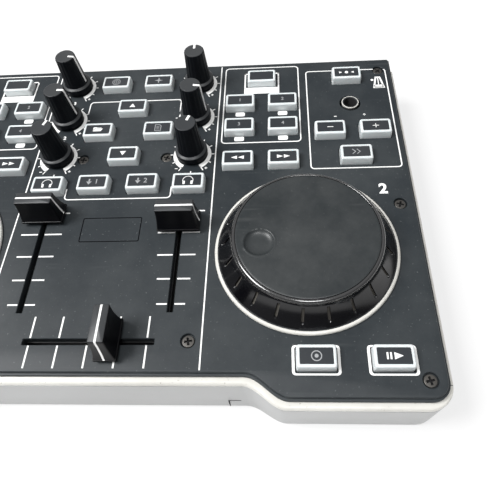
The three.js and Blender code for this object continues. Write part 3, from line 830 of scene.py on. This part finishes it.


def bumper_skin():
    """For each point of the section, the front outline at that offset, with the corner's arc cut off
    at the seam. Inside the slants the outer face moves forward by a lean that grows with depth."""
    columns = []
    for inward, down in wall_section:
        side = BUMPER_SIDE - inward * SIDE_WALL / FRONT_WALL
        front = BUMPER_FRONT - inward
        edge = front_edge(side, front)[:SLANT_STEPS]
        radius = CORNER + front
        centre = (PANEL_HALF + side - radius, WING_FRONT + CORNER)
        stop = math.degrees(math.asin((SEAM - centre[1]) / radius))
        right = np.concatenate([edge, arc(centre, radius, -90, stop, 16)])
        outside = 1 - smoothstep(0.8, 2.0, inward)
        lean = WALL_LEAN * down / WALL_DEPTH * outside * (1 - smoothstep(57, 72, right[:, 0]))
        right[:, 1] -= lean
        middle = np.linspace(0, right[0, 0], 6)[1:-1]
        centre_line = np.column_stack([middle, np.full(4, right[0, 1])])
        half = np.concatenate([centre_line, right])
        whole = np.concatenate([half[::-1] * [-1, 1], half])
        columns.append(at_height(whole, WALL_HIGH - down))
    return Skin().rings(np.stack(columns, axis=1), section_number)


bumper = bumper_skin()
NOTCH = (51.8, 56.4, -21.0)  # an opening's outline: its left and right ends and its top edge
wall_y = CENTRE_FRONT - BUMPER_FRONT - WALL_LEAN * (WALL_HIGH - NOTCH[2]) / WALL_DEPTH
# the notch's gap shadow is painted: near-black slabs along its top edge and down its left end
gap_shade = Skin()
gap_shade.prism(rounded_rectangle(2.3, 0.5, 0.1, 2, (54.1, wall_y + 0.44)), NOTCH[2] - 0.2, NOTCH[2] + 0.2)
gap_shade.prism(rounded_rectangle(0.17, 0.9, 0.1, 2, (NOTCH[0] - 0.2, wall_y + 0.3)), WALL_LOW + 0.3, NOTCH[2])
piece("bumper", bumper, [bumper_silver, rim_white, shade_black], "case", ["front_bumper"],
      math.radians(28))
piece("bumper_gap_shade", gap_shade, [shade_black], "case")

for letter, side in (("a", -1), ("b", 1)):
    low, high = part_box(f"side_trim_{letter}")
    y0, y1 = (low.y - datum.y) / MM, (high.y - datum.y) / MM
    rows = []
    for y, shrink in ((y0, 0.12), (y0 + 0.12, 0), (y1 - 0.12, 0), (y1, 0.12)):
        inward = wall_section[:, 0] * SIDE_WALL / FRONT_WALL
        inward = inward + shrink * (1 - 2 * inward / SIDE_WALL)
        down = wall_section[:, 1] + shrink * (1 - 2 * wall_section[:, 1] / WALL_DEPTH)
        x = side * (PANEL_HALF + BUMPER_SIDE - inward)
        rows.append(np.column_stack([x, np.full(len(x), y), WALL_HIGH - down]))
    strip = Skin().rings(np.stack(rows), section_number)
    piece(f"side_strip_{letter}", strip, [bumper_silver, rim_white, shade_black], "case",
          [f"side_trim_{letter}"], math.radians(28))
print("bumper:", bumper.count, "points")

# %% [markdown]
# ## The case underneath
# The lower case is right as a solid, but its edges are knife sharp. A copy of it is merged, its flat
# faces are joined, and a Bevel modifier eases every edge. Its feet are made a little shorter, and a
# rubber pad covers each.

# %% The eased case
CASE_LOW = level_of("lower_case")[0]
FOOT_TOP = CASE_LOW + 2
shell_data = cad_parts["lower_case"].data.copy()
shell = bpy.data.objects.new("case_shell", shell_data)
bpy.context.scene.collection.objects.link(shell)
work = bmesh.new()
work.from_mesh(shell_data)
bmesh.ops.remove_doubles(work, verts=work.verts, dist=2e-6)
bmesh.ops.dissolve_limit(
    work, angle_limit=math.radians(1), verts=work.verts, edges=work.edges, use_dissolve_boundaries=False)
bmesh.ops.recalc_face_normals(work, faces=work.faces)
work.to_mesh(shell_data)
work.free()
corners = np.zeros(len(shell_data.vertices) * 3)
shell_data.vertices.foreach_get("co", corners)
corners = corners.reshape(-1, 3)
foot_floor = datum.z + (CASE_LOW + 0.5) * MM
corners[:, 2] = np.maximum(corners[:, 2], foot_floor)
shell_data.vertices.foreach_set("co", corners.ravel())
shell_data.materials.clear()
easing = shell.modifiers.new("eased_edges", "BEVEL")
easing.width = 0.35 * MM
easing.segments = 2
easing.limit_method = "ANGLE"
easing.angle_limit = math.radians(50)
shade(shell)
mount(shell, [case_black], "case", ["lower_case"])

# %% Rubber feet
FOOT_X, FOOT_FRONT, FOOT_BACK = 112.0, -5.9, 138.0
foot_profile = [(6.9, FOOT_TOP + 0.02), (7.15, FOOT_TOP - 0.2), (7.15, CASE_LOW + 0.5),
                (6.95, CASE_LOW + 0.15), (6.5, CASE_LOW), (5.6, CASE_LOW), (5.2, CASE_LOW + 0.2),
                (1.0, CASE_LOW + 0.2)]
feet = Skin()
for sign in (-1, 1):
    for y in (FOOT_FRONT, FOOT_BACK):
        feet.rings(turned(foot_profile, 40, (sign * FOOT_X, y)))
piece("rubber_feet", feet, [rubber], "case")
print("case:", len(shell.data.polygons), "faces before its bevel")

# %% [markdown]
# ## The sockets at the back
# A square socket for the computer's lead and two round jacks sit in the back wall. The square one gets
# the plastic tongue that a plug slides over, with four contacts, and each jack gets a bright collar.

# %% Tongue, contacts and collars
usb_low, usb_high = level_of("usb_socket")
USB_X, USB_Z = centre_of("usb_socket")[0], (usb_low + usb_high) / 2
CASE_BACK = PANEL_BACK + LIP


def along_y(outline, y0, y1, ease=0.0):
    """An outline in x and z carried from y0 to y1, shrunk by ease at its far end."""
    outline = np.asarray(outline, float)
    middle = outline.mean(axis=0)
    small = middle + (outline - middle) * (1 - ease)
    rows = [(outline, y0), (outline, y1 - 0.3), (small, y1)]
    return np.stack([np.column_stack([o[:, 0], np.full(len(o), y), o[:, 1]]) for o, y in rows])


tongue = Skin()
tongue.rings(along_y(rounded_rectangle(2.8, 1.6, 0.3, 4, (USB_X, USB_Z)), CASE_BACK - 9.2, CASE_BACK - 1.2,
                     0.12))
for sx in (-1, 1):
    for sz in (-1, 1):
        strip = rounded_rectangle(0.55, 0.1, 0.05, 2, (USB_X + 1.25 * sx, USB_Z + 1.62 * sz))
        tongue.rings(along_y(strip, CASE_BACK - 9.0, CASE_BACK - 2.2), 1)
piece("usb_tongue", tongue, [tongue_white, brass_pin], "case")

JACK_X, JACK_Z = (-50, -66), -16.5
collars = Skin()
collar_profile = [(1.9, 0.0), (1.9, 0.35), (2.1, 0.5), (3.1, 0.5), (3.3, 0.35), (3.3, -0.6), (1.9, -0.6)]
for x in JACK_X:
    ring = turned(collar_profile, 40)
    standing = np.stack([x + ring[..., 0], CASE_BACK - 0.3 + ring[..., 2], JACK_Z - ring[..., 1]], axis=-1)
    collars.rings(standing, wrap=True)
piece("jack_collars", collars, [nickel], "case")
for name, finish in (("main_board", board_finish), ("usb_socket", nickel),
                     ("jog_spindle_a", nickel), ("jog_spindle_b", nickel)):
    slots_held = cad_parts[name].data.materials
    slots_held.clear()
    slots_held.append(finish)
print("sockets at z", round(USB_Z, 2), "and", JACK_Z)

# %% [markdown]
# ## Thirty-six buttons
# Each button is a block of milky plastic with eased edges and a sunk dark label. A lip under the panel
# keeps it from falling out. The block is a stack of rounded rectangles, and the label and its sign are
# closed slabs in the recess.

# %% The signs
LABEL_TOP = 3.42
SIGN_LOW, SIGN_HIGH = LABEL_TOP - 0.04, LABEL_TOP + 0.05


def triangle(x, y, width, height, turn):
    """A triangle that points to +X, turned by a number of degrees."""
    points = np.array([(-width / 2, -height / 2), (width / 2, 0), (-width / 2, height / 2)])
    c, s = math.cos(math.radians(turn)), math.sin(math.radians(turn))
    return points @ np.array([[c, s], [-s, c]]) + (x, y)


def add_sign(skin, kind, x, y):
    """Adds the closed slabs of one sign, centred on the label."""
    def fill(outline):
        skin.prism(outline, SIGN_LOW, SIGN_HIGH, 2)

    def draw(path, width, closed=False):
        skin.stroke(path, width, SIGN_LOW, SIGN_HIGH, 2, closed)

    if kind in ("rewind", "forward"):
        for shift in (-1.55, 1.55):
            fill(triangle(x + shift, y, 2.7, 2.0, 0 if kind == "forward" else 180))
    elif kind in ("up", "down"):
        fill(triangle(x, y, 2.4, 2.9, 90 if kind == "up" else -90))
    elif kind == "play":
        for shift in (-2.4, -1.2):
            fill(rounded_rectangle(0.32, 1.25, 0.05, 2, (x + shift, y)))
        fill(triangle(x + 1.5, y, 3.1, 2.6, 0))
    elif kind == "pitch_reset":
        fill(triangle(x - 2.9, y, 1.5, 1.5, 0))
        fill(triangle(x + 2.9, y, 1.5, 1.5, 180))
        fill(disc((x, y), 0.85, 20))
    elif kind in ("pitch_minus", "pitch_plus"):
        fill(rounded_rectangle(1.45, 0.17, 0.05, 2, (x, y)))
        if kind == "pitch_plus":
            fill(rounded_rectangle(0.17, 1.25, 0.05, 2, (x, y)))
    elif kind == "listen":
        draw(arc((x, y - 0.1), 2.3, -15, 195, 28), 0.28)
        for side in (-1, 1):
            fill(rounded_rectangle(0.5, 0.95, 0.25, 4, (x + 1.75 * side, y - 1.25)))
    elif kind == "folders":
        fill(np.array([(-2.3, -1.2), (1.5, -1.2), (2.4, 0.5), (-1.4, 0.5)]) + (x, y))
        fill(np.array([(-2.3, -0.9), (-1.7, 0.75), (1.6, 0.75), (1.6, 1.1), (-0.3, 1.1), (-0.7, 1.4), (-2.3, 1.4)])
             + (x, y))
    elif kind == "vinyl":
        draw(disc((x, y), 1.95, 32), 0.32, True)
        draw(disc((x, y), 1.1, 24), 0.22, True)
        fill(disc((x, y), 0.35, 12))
    elif kind == "magic":
        t = np.arange(8) * np.pi / 4
        reach = np.where(np.arange(8) % 2, 0.6, 2.2)
        fill(np.column_stack([x + reach * np.cos(t), y + reach * np.sin(t)]))
    elif kind == "files":
        page = np.array([(-1.4, -1.9), (1.4, -1.9), (1.4, 1.1), (0.6, 1.9), (-1.4, 1.9)]) + (x, y)
        draw(page, 0.3, True)
        for shift in (-0.9, -0.1, 0.7):
            draw([(x - 0.8, y + shift), (x + 0.7, y + shift)], 0.25)
    elif kind == "load":
        fill(triangle(x - 1.6, y - 0.7, 1.7, 2.5, -90))
        draw([(x - 1.6, y), (x - 1.6, y + 1.6)], 0.7)
    elif kind == "sync":
        for shift in (-1.5, 0.5):
            draw([(x + shift - 0.4, y + 1.4), (x + shift + 1.0, y), (x + shift - 0.4, y - 1.4)], 0.36)
    elif kind == "cue":
        draw(disc((x, y), 1.75, 32), 0.36, True)
        fill(disc((x, y), 0.7, 18))


# %% The blocks
WHITE_SIGNS = ("rewind", "forward", "up", "down", "play", "pitch_reset", "pitch_minus", "pitch_plus",
               "listen", "folders")
block_rings = [  # (half width, half depth, corner radius, z)
    (7.6, 4.8, 0.4, -4.8), (7.7, 4.9, 0.5, -4.7), (7.7, 4.9, 0.5, -3.4), (7.22, 4.42, 0.95, -3.4),
    (7.2, 4.4, 0.95, 0.0), (7.04, 4.24, 0.95, 2.9), (6.97, 4.17, 0.95, 3.2), (6.82, 4.02, 0.9, 3.45),
    (6.55, 3.75, 0.8, 3.6), (6.02, 3.1, 0.42, 3.6), (5.93, 3.01, 0.36, 3.55), (5.9, 2.98, 0.35, 3.2),
]


def button_skin(name):
    """The block's rings, the label in its recess, and the sign."""
    x, y = centre_of(name)
    kind = name.split("_button")[0]
    skin = Skin()
    rows = [at_height(rounded_rectangle(w, d, r, 6, (x, y)), z) for w, d, r, z in block_rings]
    skin.rings(np.stack(rows))
    label = [(5.87, 2.95, 0.34, 3.15), (5.87, 2.95, 0.34, LABEL_TOP - 0.06), (5.81, 2.89, 0.3, LABEL_TOP)]
    rows = [at_height(rounded_rectangle(w, d, r, 5, (x, y)), z) for w, d, r, z in label]
    skin.rings(np.stack(rows), 1)
    if kind.startswith("pad"):
        skin.mesh(*number_mesh(kind[-1], 2.0, (x, y), SIGN_LOW, SIGN_HIGH), 2)
    else:
        add_sign(skin, kind, x, y)
    if kind == "load":
        deck = "1" if name.endswith("_a") else "2"
        skin.mesh(*number_mesh(deck, 2.6, (x + 1.8, y), SIGN_LOW, SIGN_HIGH), 2)
    return skin, print_white if kind in WHITE_SIGNS else print_dim


for name in buttons:
    skin, sign_finish = button_skin(name)
    piece(name.replace("_button", "_key"), skin, [button_clear, label_dark, sign_finish], name,
          [name])
print("buttons:", len(buttons))

# %% [markdown]
# ## Tapes
# A white line that climbs over an edge, on a knob or a fader cap, is a thin tape: a small rectangle
# carried along a path in space, with its width always in the same direction.


# %% A tape along a path
def tape(skin, path, across, width, low, high, number):
    """At each point of the path, the normal is the path's tangent crossed with the width's direction.
    The section reaches from low to high along the normal and half the width to both sides."""
    path, across = np.asarray(path, float), np.asarray(across, float)
    tangent = np.gradient(path, axis=0)
    normal = np.cross(tangent, across)
    normal /= np.linalg.norm(normal, axis=1, keepdims=True)
    reach = across * width / 2
    skin.rings(np.stack([
        path - reach + normal * low, path + reach + normal * low,
        path + reach + normal * high, path - reach + normal * high,
    ], axis=1), number)


# %% [markdown]
# ## Knobs
# Six tone knobs stand in two columns: a tapered, finely fluted barrel on a flared skirt. The barrel is
# a turned profile whose radius dips along eighteen flutes, and a white pointer runs over its top and
# down its side.

# %% The knobs
FLUTES = 18
POINTERS = {  # degrees clockwise from the back
    "treble_knob_a": 100, "medium_knob_a": 95, "bass_knob_a": 22,
    "treble_knob_b": 0, "medium_knob_b": 100, "bass_knob_b": 20,
}
knob_profile = np.array([
    (2.9, -8.7), (3.0, -8.6), (3.0, 1.9), (6.6, 1.9), (7.2, 1.5), (7.35, 1.6), (7.35, 3.8), (7.28, 4.05),
    (7.05, 4.25), (6.5, 4.5), (6.05, 4.68), (5.88, 4.95), (5.82, 5.4), (5.74, 6.4), (5.54, 9.0),
    (5.3, 12.5), (5.08, 16.0), (4.9, 18.9), (4.86, 19.5), (4.76, 19.78), (4.55, 19.94), (4.25, 20.0),
    (3.87, 19.97), (1.2, 19.93), (0.3, 19.93),
])


def knob_skin(name):
    """The turned profile, whose radius shrinks by a flute depth times the fourth power of the sine of
    the flute's angle, faded in above the skirt and out at the top."""
    x, y = centre_of(name)
    grid = turned(knob_profile, FLUTES * 8, (x, y))
    heading = math.radians(90 - POINTERS[name])
    t = np.linspace(0, TURN, FLUTES * 8, endpoint=False) + heading
    r, z = knob_profile[:, :1], knob_profile[:, 1:]
    window = smoothstep(5.0, 7.0, z) * (1 - smoothstep(19.75, 20.0, z)) * (r > 4.5)
    dip = 0.15 * np.sin((t - heading) * FLUTES / 2) ** 4 * window
    grid[..., 0] = x + (r - dip) * np.cos(t)
    grid[..., 1] = y + (r - dip) * np.sin(t)
    rows = np.arange(len(grid) - 1)
    lit_rows = (rows >= len(grid) - 5) | ((rows >= 7) & (rows <= 9))  # the top and the skirt's slope, turned up to the light, take a lighter grey as painted light
    skin = Skin().rings(grid, lit_rows.astype(int)[:, None] * 2)
    forward = np.array([math.cos(heading), math.sin(heading), 0])
    across = np.array([-math.sin(heading), math.cos(heading), 0])
    route = np.array([(1.6, 19.93), (2.6, 19.95), (3.77, 19.97), (4.2, 20.0), (4.5, 19.94), (4.74, 19.76),
                      (4.86, 19.4),
                      (4.94, 18.4), (5.08, 16.0), (5.3, 12.5), (5.54, 9.0), (5.72, 6.6), (5.8, 5.4)])
    path = np.array([x, y, 0]) + route[:, :1] * forward + route[:, 1:] * np.array([0, 0, 1])
    tape(skin, path, across, 1.1, -0.15, 0.06, 1)
    return skin


for name in knobs:
    piece(name.replace("_knob", "_dial"), knob_skin(name), [knob_black, print_white, top_grey], name,
          [name], math.radians(50))
print("knobs:", len(knobs))

# %% [markdown]
# ## Fader caps
# Two volume faders and the crossfader wear caps of one family: a thin base plate, four hollowed sides
# that rise to a narrow flat top, and a white line over the top and down both ends. A cap is a stack of
# rounded rectangles whose half sizes follow a power of the height.

# %% The caps
CAP_LIFT = 1.5
CAP_FORMS = {  # half across and half along the travel, at base and top, then lip, setback and flare
    "volume": ((9.0, 5.0), (7.75, 2.9), 1.2, 0.0, 1.7),
    "cross": ((8.25, 4.45), (7.15, 2.9), 1.5, 1.7, 2.4),
}


def cap_skin(name):
    """Half sizes run from the base to the top by one minus t to the power of the flare, and the middle
    moves back with the remaining share. x and y swap for the crossfader, whose travel is sideways."""
    x, y = centre_of(name)
    sideways = name.startswith("cross")
    base, top, lip, setback, flare = CAP_FORMS["cross" if sideways else "volume"]
    height = level_of(name)[1]
    middle = np.array([x, y - (0.3 if sideways else 0)])
    low = CAP_LIFT + lip
    t = np.linspace(0, 1, 14)
    rows = [(base[0] - 0.35, base[1] - 0.35, 0, CAP_LIFT), (base[0], base[1], 0, CAP_LIFT + 0.35),
            (base[0], base[1], 0, low - 0.3), (base[0] - 0.12, base[1] - 0.12, 0, low - 0.06)]
    for share, z in zip(1 - (1 - t) ** flare, low + t * (height - 0.4 - low)):
        ease = 0.3 * (1 - share)
        rows.append((base[0] - ease + (top[0] - base[0]) * share, base[1] - ease + (top[1] - base[1]) * share,
                     setback * t[len(rows) - 4], z))
    rows += [(top[0] - 0.12, top[1] - 0.12, setback, height - 0.16), (top[0] - 0.4, top[1] - 0.4, setback,
                                                                      height)]
    grid = []
    for across, along, shift, z in rows:
        half = (along, across) if sideways else (across, along)
        grid.append(at_height(rounded_rectangle(*half, 0.55, 5, middle + (0, shift)), z))
    # the top and its eased edge take a lighter grey as painted light
    skin = Skin().rings(np.stack(grid), np.array([[0]] * (len(grid) - 2) + [[2]]))
    stem = (2.0, 0.6) if sideways else (0.6, 2.0)
    skin.prism(rounded_rectangle(*stem, 0.2, 3, centre_of(name) + (0, 0)), -7.0, CAP_LIFT + 0.2)
    for end in (-1, 1):
        path = [(0, height), (end * (top[0] - 1.5), height)]
        path += [(end * row[0], row[3]) for row in rows[:2:-1]]
        points = [
            (middle[0], middle[1] + s + shift, z) if sideways else (middle[0] + s, middle[1] + shift, z)
            for (s, z), shift in zip(path, [setback, setback] + [row[2] for row in rows[:2:-1]])
        ]
        across = np.array([1, 0, 0]) if sideways else np.array([0, 1, 0])
        sign = -end if sideways else end
        tape(skin, points, across * sign, 0.8, -0.12, 0.05, 1)
    return skin


for name in cap_names:
    piece(name.replace("_cap", "_grip"), cap_skin(name), [cap_black, print_white, top_grey], name,
          [name])
print("caps:", cap_names)

# %% [markdown]
# ## Jog wheels
# A jog wheel is a satin disc with a rounded rim and a finger dimple, on a glossy skirt with a ring of
# radial slots. It is one grid in polar form. Its columns crowd together at the slots, and its rows crowd
# together at the rim, the groove and the dimple.

# %% The wheel's form
JOG_Y = 38.85
SLOTS = 21
SLOT_START = -94.8
SLOT_HALF_WIDTH, SLOT_HALF_LENGTH, SLOT_DEPTH = 0.6, 3.3, 0.8
SKIRT_RADIUS, RIM_RADIUS = 35.2, 29.4
SKIRT_LOW, RIM_LOW, DISC_TOP = 1.8, 10.5, 12.2
DIMPLE = (18.4, -3.85, 5.9, 1.3)  # distance towards the mixer, y, radius, depth


def wheel_columns():
    """Angles of the columns: seventeen close together at each slot and eleven across each gap."""
    reach = 1.0 / 31.8
    gap = TURN / SLOTS - 2 * reach
    one = np.concatenate([np.linspace(-reach, reach, 17), reach + gap * np.arange(1, 12) / 12])
    turns = math.radians(SLOT_START) + TURN / SLOTS * np.arange(SLOTS)
    return (turns[:, None] + one[None, :]).ravel()


def wheel_skin(name, mixer_side):
    """Skirt: the radius falls from foot to rim by the 1.25th power of the way down, and each slot pushes
    it in by its depth times a soft mask of the distance from the slot's middle line. Disc: flat, less a
    ring groove and a spherical dimple with a fine raised edge."""
    x, y = centre_of(name)
    angles = wheel_columns()
    columns = len(angles)
    # underside and bore
    under = np.array([(2.8, 6.3), (2.8, -6.4), (6.5, -6.4), (6.5, 9.7), (27.4, 9.7), (32.9, SKIRT_LOW),
                      (SKIRT_RADIUS - 0.1, SKIRT_LOW), (SKIRT_RADIUS, SKIRT_LOW + 0.1)])
    # skirt
    way = np.linspace(0, 1, 36)[1:]
    skirt_z = SKIRT_LOW + 0.1 + way * (RIM_LOW - SKIRT_LOW - 0.1)
    skirt_r = RIM_RADIUS + (SKIRT_RADIUS - RIM_RADIUS) * (1 - way) ** 1.25
    step = np.hypot(np.diff(skirt_r, prepend=SKIRT_RADIUS), np.diff(skirt_z, prepend=SKIRT_LOW + 0.1))
    run = np.cumsum(step)
    run -= run[-1] * 0.52
    offset = (angles - math.radians(SLOT_START) + np.pi / SLOTS) % (TURN / SLOTS) - np.pi / SLOTS
    sideways = offset[None, :] * skirt_r[:, None]
    beyond = np.maximum(np.abs(run)[:, None] - (SLOT_HALF_LENGTH - SLOT_HALF_WIDTH), 0)
    mask = 1 - smoothstep(SLOT_HALF_WIDTH - 0.22, SLOT_HALF_WIDTH + 0.02, np.hypot(sideways, beyond))
    skirt_radius = skirt_r[:, None] - SLOT_DEPTH * 0.86 * mask
    skirt_height = skirt_z[:, None] - SLOT_DEPTH * 0.5 * mask
    # rim and disc
    rim = np.array([(29.35, 10.8), (29.42, 11.1), (29.38, 11.4), (29.24, 11.7), (29.0, 11.95), (28.7, 12.12),
                    (28.4, DISC_TOP), (28.1, DISC_TOP), (28.0, 12.12), (27.95, 11.8), (27.78, 11.8), (27.73, 12.12),
                    (27.6, DISC_TOP)])
    disc_r = np.concatenate([np.linspace(26.9, 25.0, 3), np.linspace(24.9, 11.9, 48), np.linspace(11, 0.3, 8)])
    flat = np.column_stack([disc_r, np.full(len(disc_r), DISC_TOP)])

    def rows_of(profile):
        r = np.repeat(profile[:, :1], columns, axis=1)
        return r, np.repeat(profile[:, 1:], columns, axis=1)

    parts = [rows_of(under), (skirt_radius, skirt_height), rows_of(np.concatenate([rim, flat]))]
    r = np.concatenate([p[0] for p in parts])
    z = np.concatenate([p[1] for p in parts])
    px, py = r * np.cos(angles), r * np.sin(angles)
    away, dimple_y, dimple_r, depth = DIMPLE
    d = np.hypot(px - mixer_side * away, py - dimple_y)
    bowl = depth * (1 - np.clip(d / dimple_r, 0, 1) ** 5)
    edge = 0.14 * np.exp(-((d - dimple_r - 0.3) / 0.26) ** 2)
    z = np.where(z > DISC_TOP - 0.001, z - bowl + edge, z)
    grid = np.stack([x + px, y + py, z], axis=-1)
    skin = Skin()
    # underside and skirt take the gloss, the slots a lighter grey as painted highlight, the rim its shine, the disc
    # the satin
    first_rim = len(under) + len(way)
    numbers = np.zeros((len(grid) - 1, columns), int)
    numbers[len(under):first_rim][mask > 0.9] = 2
    numbers[first_rim:first_rim + 8] = 3
    numbers[first_rim + 11:] = 1
    return skin.rings(grid, numbers)


for name, mixer_side in (("jog_wheel_a", 1), ("jog_wheel_b", -1)):
    wheel = piece(name.replace("_wheel", "_platter"), wheel_skin(name, mixer_side),
                  [jog_gloss, disc_satin, slot_highlight, jog_edge], name, [name], math.radians(42))
print("jog wheel:", len(wheel.data.polygons), "faces")

# %% The rings at their feet
ring_low, ring_high = level_of("jog_trim_ring_b")
RING_IN, RING_OUT = 33.6, 36.94
ring_profile = [
    (RING_IN, ring_low), (RING_IN, ring_high - 0.1), (RING_OUT - 1.25, ring_high - 0.02), (RING_OUT - 1.0, ring_high),
    (RING_OUT - 0.65, ring_high - 0.06), (RING_OUT - 0.35, ring_high - 0.22), (RING_OUT - 0.12,
                                                                               ring_high - 0.5),
    (RING_OUT, ring_high - 0.85), (RING_OUT, ring_low),
]
for letter in "ab":
    name = f"jog_trim_ring_{letter}"
    # the inner wall and inner flat, shaded by the skirt, take a darker grey as painted shade
    skirt_shade = (np.arange(len(ring_profile)) < 2).astype(int)[:, None]
    skin = Skin().rings(turned(ring_profile, 160, centre_of(name)), skirt_shade, wrap=True)
    piece(f"jog_ring_{letter}", skin, [rim_white, top_grey], "case", [name])

# %% [markdown]
# ## Pitch encoders
# Their knobs are missing, so the bare sleeves show, flush with the panel: a round wall with a bright
# edge, and inside it a deep socket with one flat side.

# %% The sleeves
FLAT_AT = 1.5


def sleeve_skin(name):
    """A turned profile; inside the sleeve, what reaches beyond the flat is pushed back onto it."""
    spot = centre_of(name)
    profile = np.array([(3.9, -8.7), (4.05, -8.6), (4.05, 0.3), (3.97, 0.48), (3.8, 0.58), (3.65, 0.6),
                        (3.35, 0.6),
                        (3.2, 0.54), (3.1, 0.4), (3.1, -3.3), (2.9, -3.5)])
    grid = turned(profile, 72)
    heading = math.radians(52)
    toward = np.array([math.cos(heading), math.sin(heading)])
    inner = grid[9:, :, :2]
    reach = np.maximum(inner @ toward - FLAT_AT, 0)
    grid[9:, :, :2] = inner - reach[..., None] * toward
    grid[..., :2] += spot
    # the socket's inside and floor take a near-black painted shade
    inside = np.where(np.arange(len(grid) - 1) >= 8, 2, 0)[:, None]
    skin = Skin().rings(grid, inside)
    rim = [(4.06, 0.1), (4.06, 0.5), (3.96, 0.64), (3.78, 0.66), (3.68, 0.62), (3.68, 0.5), (3.9, 0.1)]
    skin.rings(turned(rim, 72, spot), 1, wrap=True)
    return skin


for name in shafts:
    piece(name.replace("_shaft", "_sleeve"), sleeve_skin(name), [top_grey, rim_white, shade_black], name,
          [name],
          math.radians(30))
print("sleeves:", shafts)

# %% [markdown]
# ## Floor and light
# The controller lies on a plain white floor under a big soft lamp behind and to the left, with a weaker
# one in front. What the camera sees of the floor is lifted towards white by Light Path, so the page
# stays clean while the shadow stays.

# %% The floor
FLOOR_HALF = 20000.0
floor_skin = Skin().prism(rounded_rectangle(FLOOR_HALF, FLOOR_HALF, 10, 3), CASE_LOW - 20, CASE_LOW - 0.02)
floor = as_object("floor", floor_skin)
floor_finish = bpy.data.materials.new("floor_white")
floor_finish.use_nodes = True
tree = floor_finish.node_tree
shader = tree.nodes["Principled BSDF"]
shader.inputs["Base Color"].default_value = (0.86, 0.86, 0.86, 1)
shader.inputs["Roughness"].default_value = 0.9
glow = tree.nodes.new("ShaderNodeEmission")
glow.inputs["Strength"].default_value = 1.0
path = tree.nodes.new("ShaderNodeLightPath")
seen = maths(tree, "MAXIMUM", path.outputs["Is Camera Ray"], path.outputs["Is Glossy Ray"])
seen = maths(tree, "MAXIMUM", seen, path.outputs["Is Transmission Ray"])
blend = tree.nodes.new("ShaderNodeMixShader")
tree.links.new(maths(tree, "MULTIPLY", seen, 0.62), blend.inputs[0])
tree.links.new(shader.outputs[0], blend.inputs[1])
tree.links.new(glow.outputs[0], blend.inputs[2])
tree.links.new(blend.outputs[0], tree.nodes["Material Output"].inputs["Surface"])
floor.data.materials.append(floor_finish)

# %% The light
scene = bpy.context.scene
scene.view_settings.view_transform = "Standard"
world = bpy.data.worlds.new("studio")
scene.world = world
world.use_nodes = True
tree = world.node_tree
soft = tree.nodes["Background"]
soft.inputs["Color"].default_value = (1, 1, 1, 1)
page = tree.nodes.new("ShaderNodeBackground")
page.inputs["Color"].default_value = (1, 1, 1, 1)
page.inputs["Strength"].default_value = 1.0
path = tree.nodes.new("ShaderNodeLightPath")
seen = maths(tree, "MAXIMUM", path.outputs["Is Camera Ray"], path.outputs["Is Transmission Ray"])
blend = tree.nodes.new("ShaderNodeMixShader")
tree.links.new(seen, blend.inputs[0])
tree.links.new(soft.outputs[0], blend.inputs[1])
tree.links.new(page.outputs[0], blend.inputs[2])
tree.links.new(blend.outputs[0], tree.nodes["World Output"].inputs["Surface"])
# the room is bright above and behind, and dim in front
sky = tree.nodes.new("ShaderNodeTexCoord")
toward = tree.nodes.new("ShaderNodeVectorMath")
toward.operation = "DOT_PRODUCT"
toward.inputs[1].default_value = (-0.2, 0.2, 0.96)
tree.links.new(sky.outputs["Generated"], toward.inputs[0])
tree.links.new(ramp(tree, toward.outputs["Value"], -0.2, 0.95, 0.1, 0.6), soft.inputs["Strength"])


def lamp(name, place, size, watts, aim=(60, 50, 0)):
    """A square softbox that faces a point on the panel. Places are in millimetres from the datum."""
    light = bpy.data.objects.new(name, bpy.data.lights.new(name, "AREA"))
    scene.collection.objects.link(light)
    light.data.size = size
    light.data.energy = watts
    light.location = datum + Vector(place) * MM
    direction = Vector(aim) - Vector(place)
    light.rotation_mode = "QUATERNION"
    light.rotation_quaternion = direction.to_track_quat("-Z", "Y")


lamp("key", (-950, 0, 1400), 0.7, 30)
lamp("top", (150, -350, 1400), 0.4, 7)

# %% [markdown]
# ## Pieces
# The number of finished pieces is printed.

# %% Finish
print("pieces:", len(made))
